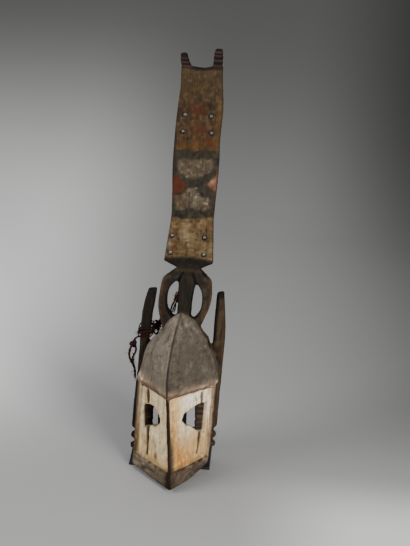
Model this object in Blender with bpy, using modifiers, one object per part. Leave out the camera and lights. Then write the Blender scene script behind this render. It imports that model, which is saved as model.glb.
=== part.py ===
"""Kanaga-style crest mask on its display stand.

One carved piece of wood (helmet with a prow-shaped face, two upright side
bars, an open loop with a middle post, and a tall notched plank), held up by a
black steel post on a black steel base plate, with an old fibre cord tied to
it. Metres, +Z up, the face looks along -Y, origin at the middle of the base
plate's underside.
"""

import math

import bmesh
import bpy
from mathutils import Matrix, Vector

# ---------------------------------------------------------------- dimensions
# Stand
BASE_WIDTH = 0.198
BASE_DEPTH = 0.200
BASE_THICKNESS = 0.007
POST_WIDTH = 0.069
POST_THICKNESS = 0.012
POST_FRONT_Y = 0.138          # behind the chin tip
POST_TOP_Z = 0.335            # above the chin tip
FIT_GAP = 0.0003

# Where the mask hangs: chin tip relative to the origin
CHIN_CLEARANCE = 0.008        # chin tip above the floor
CHIN_TO_PLATE = 0.121         # chin tip to the front edge of the plate
LEAN = 0.0395                 # sideways lean of the carving, run over rise
AXIS_X = 0.0069               # middle of the helmet at chin level

# Helmet
FACE_HALF_WIDTH = 0.0915
PROW_DEPTH = 0.108            # nose ridge to face corners, front to back
PROW_SKEW = 0.004             # the viewer's right corner sits deeper, the left less
NOSE_X_CHIN = 0.0155          # the ridge starts right of the middle and wanders left
BROW_Z = 0.232                # lower edge of the brow at its ends
BROW_POINT = 0.011            # the edge is this much higher at the ridge
HOOD_Z = 0.250                # start of the hood's arch
HOOD_HEIGHT = 0.165
HOOD_HALF_WIDTH = 0.099
HOOD_SETBACK = 0.095          # brow to apex, front to back
HELMET_BACK = 0.186
SIDE_WALL = 0.0155
FACE_WALL = 0.034             # square to the prow's faces
CEILING_Z = POST_TOP_Z

# Sunk face panels and eyes, in shares of the way from ridge to corner
PANEL_SINK = 0.007
PANEL_TOP_Z = 0.230
PANEL_FOOT_Z = 0.040
NOSE_RIB = 0.060

# Side bars
BAR_FRONT_Y = 0.122
BAR_DEPTH = 0.034
BAR_FOOT_DEPTH = 0.016        # the toothed foot is a thin flange

# Loop, post and plank above the helmet
CREST_X = 0.0045              # crest axis beside the helmet axis
CREST_Y = 0.123               # middle plane of loop and plank
LOOP_THICKNESS = 0.030
NECK_THICKNESS = 0.0165
PLANK_THICKNESS = 0.016
NECK_Z = 0.521
PLANK_FOOT_Z = 0.537
PLANK_TOP_Z = 0.986
BORE_RADIUS = 0.0048

# Fibre cord
CORD_DIAMETER = 0.0042
THIN_CORD_DIAMETER = 0.0030

Y0 = BASE_DEPTH / 2 - BASE_DEPTH - CHIN_TO_PLATE   # chin tip in the part's frame
Z0 = CHIN_CLEARANCE

# ------------------------------------------------------------------- helpers
for old in list(bpy.data.objects):
    bpy.data.objects.remove(old, do_unlink=True)

parts = bpy.data.collections.new("kanaga_mask")
tools = bpy.data.collections.new("kanaga_mask_cutters")
for group in (parts, tools):
    bpy.context.scene.collection.children.link(group)


def material(name, colour, roughness, metallic=0.0):
    made = bpy.data.materials.new(name)
    made.use_nodes = True
    shader = made.node_tree.nodes["Principled BSDF"]
    shader.inputs["Base Color"].default_value = (*colour, 1.0)
    shader.inputs["Roughness"].default_value = roughness
    shader.inputs["Metallic"].default_value = metallic
    made.diffuse_color = (*colour, 1.0)
    return made


def mix(a, b, t):
    return a + (b - a) * t


def clamp(value, low, high):
    return max(low, min(high, value))


def eased(stations, z):
    """A smooth curve through (z, value) stations, flat past both ends."""
    if z <= stations[0][0]:
        return stations[0][1]
    for i in range(len(stations) - 1):
        (z0, v0), (z1, v1) = stations[i], stations[i + 1]
        if z <= z1:
            before = stations[max(i - 1, 0)]
            after = stations[min(i + 2, len(stations) - 1)]
            m0 = (v1 - before[1]) / (z1 - before[0])
            m1 = (after[1] - v0) / (after[0] - z0)
            h, t = z1 - z0, (z - z0) / (z1 - z0)
            return ((2 * t**3 - 3 * t**2 + 1) * v0 + (t**3 - 2 * t**2 + t) * h * m0
                    + (-2 * t**3 + 3 * t**2) * v1 + (t**3 - t**2) * h * m1)
    return stations[-1][1]


def place(x, y, z):
    """Mask coordinates (from the leaning middle line, the nose ridge and the chin tip) to the part's frame."""
    return Vector((AXIS_X + LEAN * z + x, Y0 + y, Z0 + z))


def new_object(name, mesh, group, paint=None):
    made = bpy.data.objects.new(name, mesh)
    group.objects.link(made)
    if paint:
        mesh.materials.append(paint)
    if group is tools:
        made.hide_render = True
        made.display_type = "WIRE"
    return made


def loft(name, rings, group=tools, paint=None):
    """A closed solid through rings of equal point count."""
    form = bmesh.new()
    rows = [[form.verts.new(p) for p in ring] for ring in rings]
    count = len(rings[0])
    for low, high in zip(rows, rows[1:]):
        for i in range(count):
            j = (i + 1) % count
            form.faces.new((low[i], low[j], high[j], high[i]))
    for row in (rows[0], rows[-1]):
        if count <= 12:
            form.faces.new(row)
            continue
        middle = form.verts.new(sum((v.co for v in row), Vector()) / count)
        for i in range(count):
            form.faces.new((row[i], row[(i + 1) % count], middle))
    bmesh.ops.triangulate(form, faces=form.faces[:])
    bmesh.ops.recalc_face_normals(form, faces=form.faces[:])
    mesh = bpy.data.meshes.new(name)
    form.to_mesh(mesh)
    form.free()
    return new_object(name, mesh, group, paint)


def block(name, centre, size, turn=(0, 0, 0), group=tools, paint=None):
    form = bmesh.new()
    bmesh.ops.create_cube(form, size=1.0)
    bmesh.ops.scale(form, vec=size, verts=form.verts[:])
    mesh = bpy.data.meshes.new(name)
    form.to_mesh(mesh)
    form.free()
    made = new_object(name, mesh, group, paint)
    made.location = centre
    made.rotation_euler = turn
    return made


def board(name, outlines, y_middle, thickness, edge=0.0):
    """Flat outlines in the XZ plane (the first is the edge, the others are openings), with a thickness along Y."""
    curve = bpy.data.curves.new(name, "CURVE")
    curve.dimensions = "2D"
    curve.fill_mode = "BOTH"
    curve.extrude = thickness / 2
    for outline in outlines:
        spline = curve.splines.new("POLY")
        spline.points.add(len(outline) - 1)
        for point, (x, z) in zip(spline.points, outline):
            point.co = (x, z, 0.0, 1.0)
        spline.use_cyclic_u = True
    holder = new_object(name + "_outline", curve, tools)
    holder.rotation_euler = (math.pi / 2, 0, 0)
    holder.location = (0, y_middle, 0)
    return solid_of_curve(holder, name, tools, edge=edge)


def solid_of_curve(holder, name, group, paint=None, edge=0.0):
    """A curve object as a mesh with welded caps; the curve is removed."""
    bpy.context.view_layer.update()
    graph = bpy.context.evaluated_depsgraph_get()
    mesh = bpy.data.meshes.new_from_object(holder.evaluated_get(graph))
    matrix = holder.matrix_world.copy()
    form = bmesh.new()
    form.from_mesh(mesh)
    bmesh.ops.remove_doubles(form, verts=form.verts[:], dist=0.00001)
    bmesh.ops.recalc_face_normals(form, faces=form.faces[:])
    form.to_mesh(mesh)
    form.free()
    mesh.name = name
    mesh.materials.clear()
    made = new_object(name, mesh, group, paint)
    made.matrix_world = matrix
    bpy.data.objects.remove(holder, do_unlink=True)
    if edge:
        bevel = made.modifiers.new("worn_edges", "BEVEL")
        bevel.width = edge
        bevel.segments = 1
        bevel.limit_method = "ANGLE"
        bevel.angle_limit = math.radians(50)
    return made


def combine(target, other, operation):
    step = target.modifiers.new(operation.lower() + "_" + other.name, "BOOLEAN")
    step.operation = operation
    step.solver = "EXACT"
    step.object = other


# ------------------------------------------------------------------ material
wood = material("aged_wood", (0.13, 0.10, 0.075), 0.75)
steel = material("black_steel", (0.012, 0.012, 0.013), 0.45, 0.6)
fibre = material("plant_fibre", (0.075, 0.03, 0.018), 0.9)


# ----------------------------------------------------------- helmet surfaces
RIDGE_LINE = ((0.0, NOSE_X_CHIN), (0.120, 0.0036), (0.232, -0.0082), (0.276, -0.0130), (0.316, -0.0140),
              (0.348, -0.0125), (0.384, -0.0080), (0.405, -0.0040), (0.415, -0.0020))


def nose(z):
    """Ridge of the prow: sideways place and depth."""
    up = clamp((z - HOOD_Z) / HOOD_HEIGHT, 0.0, 1.0)
    overhang = -0.004 * clamp((z - BROW_Z) / 0.006, 0.0, 1.0)
    return eased(RIDGE_LINE, z), overhang * (1 - up) + HOOD_SETBACK * up**1.5


def swell(z, centre, width):
    return math.exp(-(((z - centre) / width) ** 2))


# How much narrower the hood is on the left; its brow still stands out as a lip
LEFT_TRIM = ((0.232, 0.0), (0.240, 0.0040), (0.246, 0.0065), (0.260, 0.0100), (0.270, 0.0092), (0.285, 0.0064), (0.303, 0.0028), (0.325, -0.0006),
             (0.350, -0.0018), (0.378, -0.0012), (0.400, 0.0012), (0.412, 0.0))


def arch(z, side=1):
    """Half-width of the helmet at a height; the left shoulder is leaner than the right."""
    if z < BROW_Z:
        return FACE_HALF_WIDTH
    if z < HOOD_Z:
        return mix(FACE_HALF_WIDTH, HOOD_HALF_WIDTH, clamp((z - BROW_Z) / 0.008, 0.0, 1.0)) - (eased(LEFT_TRIM, z) if side < 0 else 0.0)
    up = min((z - HOOD_Z) / HOOD_HEIGHT, 1.0)
    half = HOOD_HALF_WIDTH * (1 - up**1.3) ** 0.62
    if side < 0:
        return half - 0.0120 * swell(z, 0.368, 0.021) - eased(LEFT_TRIM, z)
    return half + 0.0050 * swell(z, 0.400, 0.011) + 0.0020 * swell(z, 0.345, 0.020) + 0.0046 * swell(z, 0.3535, 0.0085)


def arch_height(x):
    """The arch the other way round: its height at a place across."""
    side = -1 if x < 0 else 1
    low, high = HOOD_Z, HOOD_Z + HOOD_HEIGHT
    for _ in range(24):
        middle = (low + high) / 2
        if arch(middle, side) > abs(x):
            low = middle
        else:
            high = middle
    return low


def brow_lift(share, z):
    """The brow's edge rises from the corners to the ridge; the lift fades out above and below it."""
    fade = (z - 0.18) / (BROW_Z - 0.001 - 0.18) if z < BROW_Z else 1 - (z - BROW_Z) / 0.09
    return BROW_POINT * (1 - share) * clamp(fade, 0.0, 1.0)


def roof_drop(y):
    """How far the roof falls behind the hood's front arch."""
    return 0.35 * clamp(y - PROW_DEPTH, 0.0, 0.030) + 0.95 * max(y - PROW_DEPTH - 0.030, 0.0)


def facet(side, share, z, inward=0.0):
    """A point on the prow, from the ridge (share 0) to a corner (share 1), and inward square to it."""
    nx, ny = nose(z)
    half = arch(z, side)
    up = clamp((z - HOOD_Z) / HOOD_HEIGHT, 0.0, 1.0)
    cx, cy = side * half, PROW_DEPTH + side * PROW_SKEW * (1 - up) - 0.008 * up**2
    dx, dy = cx - nx, cy - ny
    run = math.hypot(dx, dy)
    bulge = 0.004 * 4 * share * (1 - share) * clamp((z - HOOD_Z) / 0.04, 0.0, 1.0) * clamp((1 - up) / 0.2, 0.0, 1.0)
    depth = inward - bulge
    return nx + dx * share - side * dy / run * depth, ny + dy * share + side * dx / run * depth


# ------------------------------------------------------------- helmet, solid
SHARES = (0.0, 0.2, 0.4, 0.6, 0.8, 1.0)
heights = [-0.02, 0.03, 0.08, 0.13, 0.18, BROW_Z - 0.001, BROW_Z, BROW_Z + 0.008, HOOD_Z]
heights += [HOOD_Z + HOOD_HEIGHT * (1 - (1 - i / 12) ** 1.5) for i in range(1, 12)]
heights += [HOOD_Z + HOOD_HEIGHT * 0.997]
rings = []
for z in heights:
    right = [facet(1, s, z) for s in SHARES]
    left = [facet(-1, s, z) for s in SHARES]
    tail = 0.006
    back = [(right[-1][0] - 0.1 * tail, right[-1][1] + tail), (left[-1][0] + 0.1 * tail, left[-1][1] + tail)]
    ring = [*right, *back, *reversed(left[1:])]
    lifts = [brow_lift(s, z) for s in (*SHARES, 1.0, 1.0, *reversed(SHARES[1:]))]
    rings.append([place(x, y, z + lift) for (x, y), lift in zip(ring, lifts)])
mask = loft("mask", rings, group=parts, paint=wood)

ACROSS = 16
rings = []
for y in (0.099, PROW_DEPTH, 0.122, 0.138, 0.154, 0.170, HELMET_BACK):
    inset = 0.004 if y < PROW_DEPTH else 0.0
    half = FACE_HALF_WIDTH - inset
    ring = [(-half, -0.02), (half, -0.02)]
    for i in range(ACROSS + 1):
        x = half * math.cos(math.pi * i / ACROSS)
        ring.append((x, arch_height(x) - roof_drop(y) - 2 * inset))
    rings.append([place(x, y, z) for x, z in ring])
combine(mask, loft("helmet_rear", rings), "UNION")

# ------------------------------------------------------------------ side bars
for side, name in ((-1, "left"), (1, "right")):
    foot, crotch, tip = (0.038, 0.335, 0.456) if side < 0 else (0.060, 0.332, 0.459)
    if side < 0:
        outer = [(foot, 0.1025), (0.117, 0.1018), (0.199, 0.0997), (0.248, 0.0972), (0.348, 0.0960), (0.385, 0.0966), (0.423, 0.0922), (tip, 0.0845)]
        inner = [(foot, 0.0800), (0.285, 0.0770), (0.345, 0.0735), (0.368, 0.0717), (0.400, 0.0708), (0.427, 0.0668), (tip, 0.0645)]
    else:
        outer = [(foot, 0.1048), (0.162, 0.1040), (0.240, 0.1034), (0.357, 0.1030), (0.408, 0.0986), (tip, 0.0918)]
        inner = [(foot, 0.0800), (0.282, 0.0770), (0.362, 0.0760), (tip - 0.05, 0.0755), (tip, 0.0758)]
    rings = []
    steps = 14
    for i in range(steps + 1):
        z = mix(foot, tip, i / steps)
        a, b = eased(inner, z), eased(outer, z)
        depth = BAR_DEPTH * mix(1.0, 0.78, clamp((z - crotch) / (tip - crotch), 0.0, 1.0))
        depth = mix(BAR_FOOT_DEPTH, depth, clamp((z - 0.13) / 0.16, 0.0, 1.0))
        y0, y1 = BAR_FRONT_Y, BAR_FRONT_Y + depth
        c = 0.005
        ring = [(a + c, y0), (b - c, y0), (b, y0 + c), (b, y1 - c), (b - c, y1), (a + c, y1), (a, y1 - c), (a, y0 + c)]
        slant = 0.0015 * side if i == steps else 0.0
        rings.append([place(side * x, y, z + slant * (x - 0.08) / 0.01) for x, y in ring])
    combine(mask, loft("bar_" + name, rings), "UNION")


# ------------------------------------------------- loop, middle post and plank
def crest(x, z):
    return AXIS_X + LEAN * z + CREST_X + x, Z0 + z


PLANK_EDGE = ((0.537, 0.0565), (0.561, 0.0545), (0.608, 0.0505), (0.646, 0.0480), (0.700, 0.0495), (0.765, 0.0515),
              (0.832, 0.0502), (0.880, 0.0500), (0.916, 0.0484), (0.945, 0.0455), (PLANK_TOP_Z, 0.0445))
PLANK_SHIFT = ((0.537, 0.0002), (0.644, 0.0012), (0.740, 0.0), (0.832, -0.0020), (0.916, -0.0007), (PLANK_TOP_Z, -0.0040))


def plank_edges(steps=26):
    levels = [mix(PLANK_FOOT_Z, PLANK_TOP_Z, i / steps) for i in range(steps + 1)]
    return [(z, eased(PLANK_SHIFT, z) - eased(PLANK_EDGE, z), eased(PLANK_SHIFT, z) + eased(PLANK_EDGE, z)) for z in levels]


def circle(x, z, radius, count=12):
    return [(x + radius * math.cos(2 * math.pi * i / count), z + radius * math.sin(2 * math.pi * i / count)) for i in range(count)]


def chamfered(left, right, z, thickness, corner=0.0022):
    """A flat bar's section at one height, with its four long edges taken off."""
    y0, y1, c = CREST_Y - thickness / 2, CREST_Y + thickness / 2, corner
    ring = [(left + c, y0), (right - c, y0), (right, y0 + c), (right, y1 - c), (right - c, y1), (left + c, y1), (left, y1 - c), (left, y0 + c)]
    return [place(CREST_X + x, y, z) for x, y in ring]


edges = plank_edges()
rings = [chamfered(-0.0225, 0.0268, z, PLANK_THICKNESS) for z in (NECK_Z - 0.012, NECK_Z)]
rings += [chamfered(left, right, z, PLANK_THICKNESS) for z, left, right in edges]
rings.append(chamfered(edges[-1][1], edges[-1][2], PLANK_TOP_Z + 0.0015, PLANK_THICKNESS))
plank = loft("plank", rings)

# The two prongs on its top; their upper ends are worn round
for name, stations in (("prong_right", ((-0.012, 0.0140, 0.0395), (0.000, 0.0180, 0.0392), (0.010, 0.0196, 0.0392), (0.024, 0.0192, 0.0388),
                                        (0.034, 0.0200, 0.0380), (0.0396, 0.0212, 0.0370), (0.0412, 0.0232, 0.0350))),
                       ("prong_left", ((-0.012, -0.0465, -0.0235), (0.000, -0.0487, -0.0280), (0.012, -0.0512, -0.0330), (0.023, -0.0522, -0.0370),
                                       (0.0276, -0.0516, -0.0380), (0.0288, -0.0496, -0.0400)))):
    top = stations[-1][0]
    rings = [chamfered(left, right, PLANK_TOP_Z + rise, PLANK_THICKNESS - 0.0008 - 0.0022 * clamp((rise - top + 0.006) / 0.006, 0.0, 1.0))
             for rise, left, right in stations]
    combine(plank, loft(name, rings), "UNION")

# A shallow hollow along the top edge between them
rings = []
for y in (CREST_Y - 0.02, CREST_Y + 0.02):
    ring = [place(CREST_X + mix(-0.0300, 0.0190, i / 8), y, PLANK_TOP_Z + 0.0018 - 0.0036 * math.sin(math.pi * i / 8)) for i in range(9)]
    ring += [place(CREST_X + 0.0190, y, PLANK_TOP_Z + 0.006), place(CREST_X - 0.0300, y, PLANK_TOP_Z + 0.006)]
    rings.append(ring)
combine(plank, loft("top_hollow", rings), "DIFFERENCE")

# Bores for the lost cross-arms' lashings
for row, (z, left, right) in enumerate(((0.880, -0.0326, 0.0250), (0.8425, -0.0346, 0.0287), (0.598, -0.0413, 0.0325), (0.5570, -0.0425, 0.0345))):
    for x in (left, right):
        rings = [[place(CREST_X + x + BORE_RADIUS * math.cos(2 * math.pi * i / 12), y, z + BORE_RADIUS * math.sin(2 * math.pi * i / 12)) for i in range(12)]
                 for y in (CREST_Y - 0.02, CREST_Y + 0.02)]
        combine(plank, loft(f"bore_{row}_{'left' if x < 0 else 'right'}", rings), "DIFFERENCE")
combine(mask, plank, "UNION")

LOOP_RIGHT = ((0.340, 0.0285), (0.367, 0.0365), (0.402, 0.0492), (0.430, 0.0582), (0.458, 0.0600), (0.484, 0.0580), (0.492, 0.0555))
LOOP_LEFT = ((0.340, 0.0390), (0.367, 0.0475), (0.402, 0.0588), (0.430, 0.0622), (0.458, 0.0606), (0.484, 0.0580), (0.492, 0.0555))
outline = []
steps = 14
for i in range(steps + 1):
    z = mix(0.340, 0.492, i / steps)
    outline.append(crest(eased(LOOP_RIGHT, z), z))
outline += [crest(0.0275, NECK_Z), crest(0.0270, 0.533), crest(-0.0230, 0.533), crest(-0.0230, NECK_Z)]
for i in range(steps, -1, -1):
    z = mix(0.340, 0.492, i / steps)
    outline.append(crest(-eased(LOOP_LEFT, z), z))
openings = []
for side in (-1, 1):
    foot, top = (0.392, 0.494) if side < 0 else (0.392, 0.489)
    post = ((foot, 0.0155), (0.43, 0.0160), (0.46, 0.0172), (top, 0.0185 if side < 0 else 0.0225))
    if side < 0:
        arm = ((foot, 0.0205), (0.410, 0.0365), (0.428, 0.0422), (0.448, 0.0430), (0.470, 0.0385), (0.482, 0.0310), (top, 0.0205))
    else:
        arm = ((foot, 0.0205), (0.410, 0.0335), (0.428, 0.0388), (0.448, 0.0395), (0.470, 0.0358), (0.482, 0.0285), (top, 0.0245))
    rounds = 10
    hole = [crest(side * eased(post, mix(foot, top, i / rounds)), mix(foot, top, i / rounds)) for i in range(rounds + 1)]
    hole += [crest(side * eased(arm, mix(foot, top, i / rounds)), mix(foot, top, i / rounds)) for i in range(rounds, -1, -1)]
    openings.append(hole)
loop = board("loop", [outline, *openings], Y0 + CREST_Y, LOOP_THICKNESS, edge=0.0045)
for face in (-1, 1):
    # the neck thins into the plank, front and back
    near, far = CREST_Y + face * LOOP_THICKNESS / 2, CREST_Y + face * NECK_THICKNESS / 2
    rings = [[place(CREST_X + x, y, z) for y, z in ((near, 0.492), (far, 0.535), (far, 0.560), (near + face * 0.01, 0.560), (near + face * 0.01, 0.492))]
             for x in (-0.07, 0.07)]
    combine(loop, loft("neck_slope", rings), "DIFFERENCE")
combine(mask, loop, "UNION")

# --------------------------------------------------------------- hollow inside
rings = []
for z in (-0.03, 0.03, 0.10, 0.17, BROW_Z, 0.260, 0.285, 0.310, CEILING_Z):
    nx, ny = nose(min(z, 0.5))
    shrink = min(arch(z), FACE_HALF_WIDTH) / FACE_HALF_WIDTH
    half = (FACE_HALF_WIDTH - SIDE_WALL) * shrink - (0.004 * clamp((z - HOOD_Z) / 0.085, 0.0, 1.0))
    front = max(ny, 0.0) + FACE_WALL * 1.50
    corner = min(front + half / 0.85, POST_FRONT_Y - 0.004)
    rings.append([place(x, y, z) for x, y in ((nx - 0.006, front), (nx + 0.006, front), (half, corner), (half, 0.160), (-half, 0.160), (-half, corner))])
combine(mask, loft("hollow_front", rings), "DIFFERENCE")

rings = []
for y in (0.146, 0.160, 0.174, HELMET_BACK + 0.02):
    half = FACE_HALF_WIDTH - SIDE_WALL + 0.0006
    ring = [(-half, -0.031), (half, -0.031)]
    for i in range(ACROSS + 1):
        x = half * math.cos(math.pi * i / ACROSS)
        over = arch_height(abs(x) + 0.016) - roof_drop(min(y, HELMET_BACK)) - 0.006
        ring.append((x, min(CEILING_Z - 0.0008, over)))
    rings.append([place(x, y, z) for x, z in ring])
combine(mask, loft("hollow_rear", rings), "DIFFERENCE")

# ------------------------------------------------------ sunk panels and eyes
for side, name in ((-1, "left"), (1, "right")):
    outer_top, outer_foot = (0.875, 0.985) if side < 0 else (0.985, 0.975)
    border = [(NOSE_RIB, PANEL_FOOT_Z + 0.002), (0.5, PANEL_FOOT_Z), (outer_foot, PANEL_FOOT_Z - 0.006 if side < 0 else PANEL_FOOT_Z),
              (mix(outer_foot, outer_top, 0.45), 0.13), (outer_top, PANEL_TOP_Z - 0.002), (0.55, PANEL_TOP_Z + 0.003), (NOSE_RIB, PANEL_TOP_Z + 0.008)]
    rings = [[place(*facet(side, s, min(z, BROW_Z - 0.001), inward), z) for s, z in border] for inward in (PANEL_SINK, -0.030)]
    combine(mask, loft("panel_" + name, rings), "DIFFERENCE")

EYES = {-1: ((0.800, 0.117), (0.820, 0.178), (0.640, 0.188), (0.480, 0.191), (0.320, 0.172), (0.322, 0.160), (0.460, 0.141), (0.580, 0.138)),
        1: ((0.878, 0.1095), (0.884, 0.150), (0.892, 0.189), (0.740, 0.192), (0.610, 0.188), (0.412, 0.182), (0.366, 0.167), (0.457, 0.150), (0.560, 0.144), (0.670, 0.129))}


def eye_slant(side, share, z):
    """The outer jambs run inward toward the nose; the right one more, the left one more at its top."""
    most = 0.350 if side > 0 else 0.115 + 0.070 * clamp((z - 0.117) / 0.061, 0.0, 1.0)
    return most * clamp((share - 0.45) / 0.42, 0.0, 1.0)


for side, name in ((-1, "left"), (1, "right")):
    rings = [[place(*facet(side, s, z, inward), z) for s, z in EYES[side]] for inward in (0.006, -0.030)]
    deep = [(s - eye_slant(side, s, z), z) for s, z in EYES[side]]
    rings.insert(0, [place(*facet(side, s, z, 0.060), z) for s, z in deep])
    combine(mask, loft("eye_" + name, rings), "DIFFERENCE")

# --------------------------------------------------- foot line and bar notches
outline = [crest(-0.14, -0.06), crest(0.14, -0.06)]
for i in range(25):
    x = mix(0.125, -0.125, i / 24)
    off = x - NOSE_X_CHIN
    share = clamp(abs(off) / (FACE_HALF_WIDTH - 0.0 - NOSE_X_CHIN * math.copysign(1, off)), 0.0, 1.0)
    rise = 0.026 * share**3.6 if off > 0 else 0.005 * share**3
    outline.append((AXIS_X + x, Z0 + rise))
combine(mask, board("foot_line", [outline], Y0 + 0.09, 0.30), "DIFFERENCE")

# Two cuts across each bar's foot leave two teeth: square on the left, V-shaped on the right
for name, side, root, cuts in (("left", -1, 0.0930, ((0.0965, 0.0770, 0.0925, 0.0795), (0.0680, 0.0475, 0.0640, 0.0505))),
                               ("right", 1, 0.0940, ((0.1170, 0.0945, 0.1060, 0.1010), (0.0900, 0.0695, 0.0795, 0.0745)))):
    for number, (high, low, root_high, root_low) in enumerate(cuts):
        ring = ((0.1055, high), (0.1055, low), (root, root_low), (root, root_high))
        wide = [(0.118, high + 0.004), (0.118, low - 0.004), *ring[1:], ring[0]]
        rings = [[place(side * x, y, z) for x, z in wide] for y in (BAR_FRONT_Y - 0.012, BAR_FRONT_Y + BAR_DEPTH + 0.012)]
        combine(mask, loft(f"notch_{name}_{number}", rings), "DIFFERENCE")

for face in mask.data.polygons:
    face.use_smooth = False

# ----------------------------------------------------------------------- stand
post_x = AXIS_X - 0.0015
base = block("stand_base", (0, 0, BASE_THICKNESS / 2), (BASE_WIDTH, BASE_DEPTH, BASE_THICKNESS), group=parts, paint=steel)
base.data.transform(Matrix.Rotation(math.radians(2.5), 4, "Z"))   # the plate sits slightly turned under the carving
rim = base.modifiers.new("broken_edges", "BEVEL")
rim.width = 0.0008
rim.segments = 1
post_low, post_high = BASE_THICKNESS + FIT_GAP, Z0 + POST_TOP_Z - FIT_GAP
post = block("stand_post", (post_x, Y0 + POST_FRONT_Y + POST_THICKNESS / 2, (post_low + post_high) / 2),
             (POST_WIDTH, POST_THICKNESS, post_high - post_low), group=parts, paint=steel)
rim = post.modifiers.new("broken_edges", "BEVEL")
rim.width = 0.0008
rim.segments = 1

# ----------------------------------------------------------------- fibre cord
def route(points, step):
    """Evenly spaced points on a smooth curve through the given ones."""
    points = [Vector(p) for p in points]
    points = [2 * points[0] - points[1], *points, 2 * points[-1] - points[-2]]
    fine = []
    for a, b, c, d in zip(points, points[1:], points[2:], points[3:]):
        for i in range(24):
            t = i / 24
            fine.append(0.5 * (2 * b + (c - a) * t + (2 * a - 5 * b + 4 * c - d) * t**2 + (3 * b - a - 3 * c + d) * t**3))
    fine.append(points[-2])
    total = sum((q - p).length for p, q in zip(fine, fine[1:]))
    count = round(total / step)
    even, walked, goal = [fine[0]], 0.0, total / count
    for p, q in zip(fine, fine[1:]):
        length = (q - p).length
        while walked + length >= goal and len(even) < count:
            even.append(p.lerp(q, (goal - walked) / length))
            goal += total / count
        walked += length
    return [*even, fine[-1]]


def cord(name, points, diameter):
    """A round cord through points in mask coordinates."""
    curve = bpy.data.curves.new(name, "CURVE")
    curve.dimensions = "3D"
    curve.bevel_depth = diameter / 2
    curve.bevel_resolution = 2
    curve.use_fill_caps = True
    spline = curve.splines.new("POLY")
    centre = route([place(*p) for p in points], 2.2 * diameter)
    spline.points.add(len(centre) - 1)
    for point, place_at in zip(spline.points, centre):
        point.co = (*place_at, 1.0)
    holder = bpy.data.objects.new(name + "_route", curve)
    tools.objects.link(holder)
    made = solid_of_curve(holder, name, parts, paint=fibre)
    for face in made.data.polygons:
        face.use_smooth = True
    return made


# From its knot beside the loop's middle post, behind the loop's left foot, one
# and a half turns round the left bar, and down outside the bar.
cord("fibre_cord", (
    (-0.0126, 0.1428, 0.4534), (-0.0175, 0.1428, 0.4403), (-0.0225, 0.1430, 0.4269), (-0.0276, 0.1440, 0.4133),
    (-0.0308, 0.1455, 0.3997), (-0.0362, 0.1475, 0.3873), (-0.0457, 0.1495, 0.3760), (-0.0573, 0.1505, 0.3668),
    (-0.0655, 0.1455, 0.3595), (-0.0683, 0.1340, 0.3575), (-0.0700, 0.1222, 0.3572), (-0.0790, 0.1180, 0.3555),
    (-0.0900, 0.1180, 0.3515), (-0.0985, 0.1222, 0.3478), (-0.1010, 0.1350, 0.3450), (-0.1000, 0.1515, 0.3430),
    (-0.0930, 0.1600, 0.3415), (-0.0800, 0.1595, 0.3412), (-0.0710, 0.1540, 0.3430), (-0.0690, 0.1400, 0.3460),
    (-0.0705, 0.1245, 0.3480), (-0.0770, 0.1182, 0.3475), (-0.0880, 0.1178, 0.3440), (-0.0985, 0.1205, 0.3390),
    (-0.1042, 0.1245, 0.3340), (-0.1085, 0.1250, 0.3275), (-0.1110, 0.1240, 0.3179), (-0.1155, 0.1240, 0.3083),
    (-0.1180, 0.1240, 0.2988), (-0.1185, 0.1240, 0.2896), (-0.1167, 0.1240, 0.2792), (-0.1122, 0.1240, 0.2701),
    (-0.1068, 0.1240, 0.2608), (-0.1032, 0.1240, 0.2513), (-0.1016, 0.1240, 0.2395)), CORD_DIAMETER)

# Second strand of the loose loop that hangs from the knot beside the bar
cord("fibre_strand", (
    (-0.1070, 0.1285, 0.3140), (-0.1040, 0.1285, 0.3050), (-0.1046, 0.1285, 0.2950), (-0.1082, 0.1285, 0.2859),
    (-0.1104, 0.1288, 0.2765), (-0.1092, 0.1294, 0.2670), (-0.1060, 0.1296, 0.2568), (-0.1035, 0.1298, 0.2450),
    (-0.1022, 0.1300, 0.2330), (-0.1018, 0.1300, 0.2248)), CORD_DIAMETER)

# Thinner second end beside the first, with a loose bight above the hood's left shoulder
cord("fibre_end", (
    (-0.0160, 0.1465, 0.4300), (-0.0215, 0.1478, 0.4150), (-0.0262, 0.1485, 0.3990), (-0.0315, 0.1470, 0.3850),
    (-0.0410, 0.1425, 0.3760), (-0.0485, 0.1412, 0.3700), (-0.0525, 0.1400, 0.3610), (-0.0540, 0.1385, 0.3520),
    (-0.0565, 0.1370, 0.3455), (-0.0608, 0.1358, 0.3435), (-0.0640, 0.1352, 0.3480), (-0.0636, 0.1356, 0.3570),
    (-0.0615, 0.1365, 0.3670)), THIN_CORD_DIAMETER)
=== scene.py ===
"""Looks of the kanaga-style crest mask on its black stand: carved wood, old paint, fibre cord, steel."""

import math

import bmesh
import bpy
import numpy as np
from mathutils import Matrix, Vector


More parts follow.
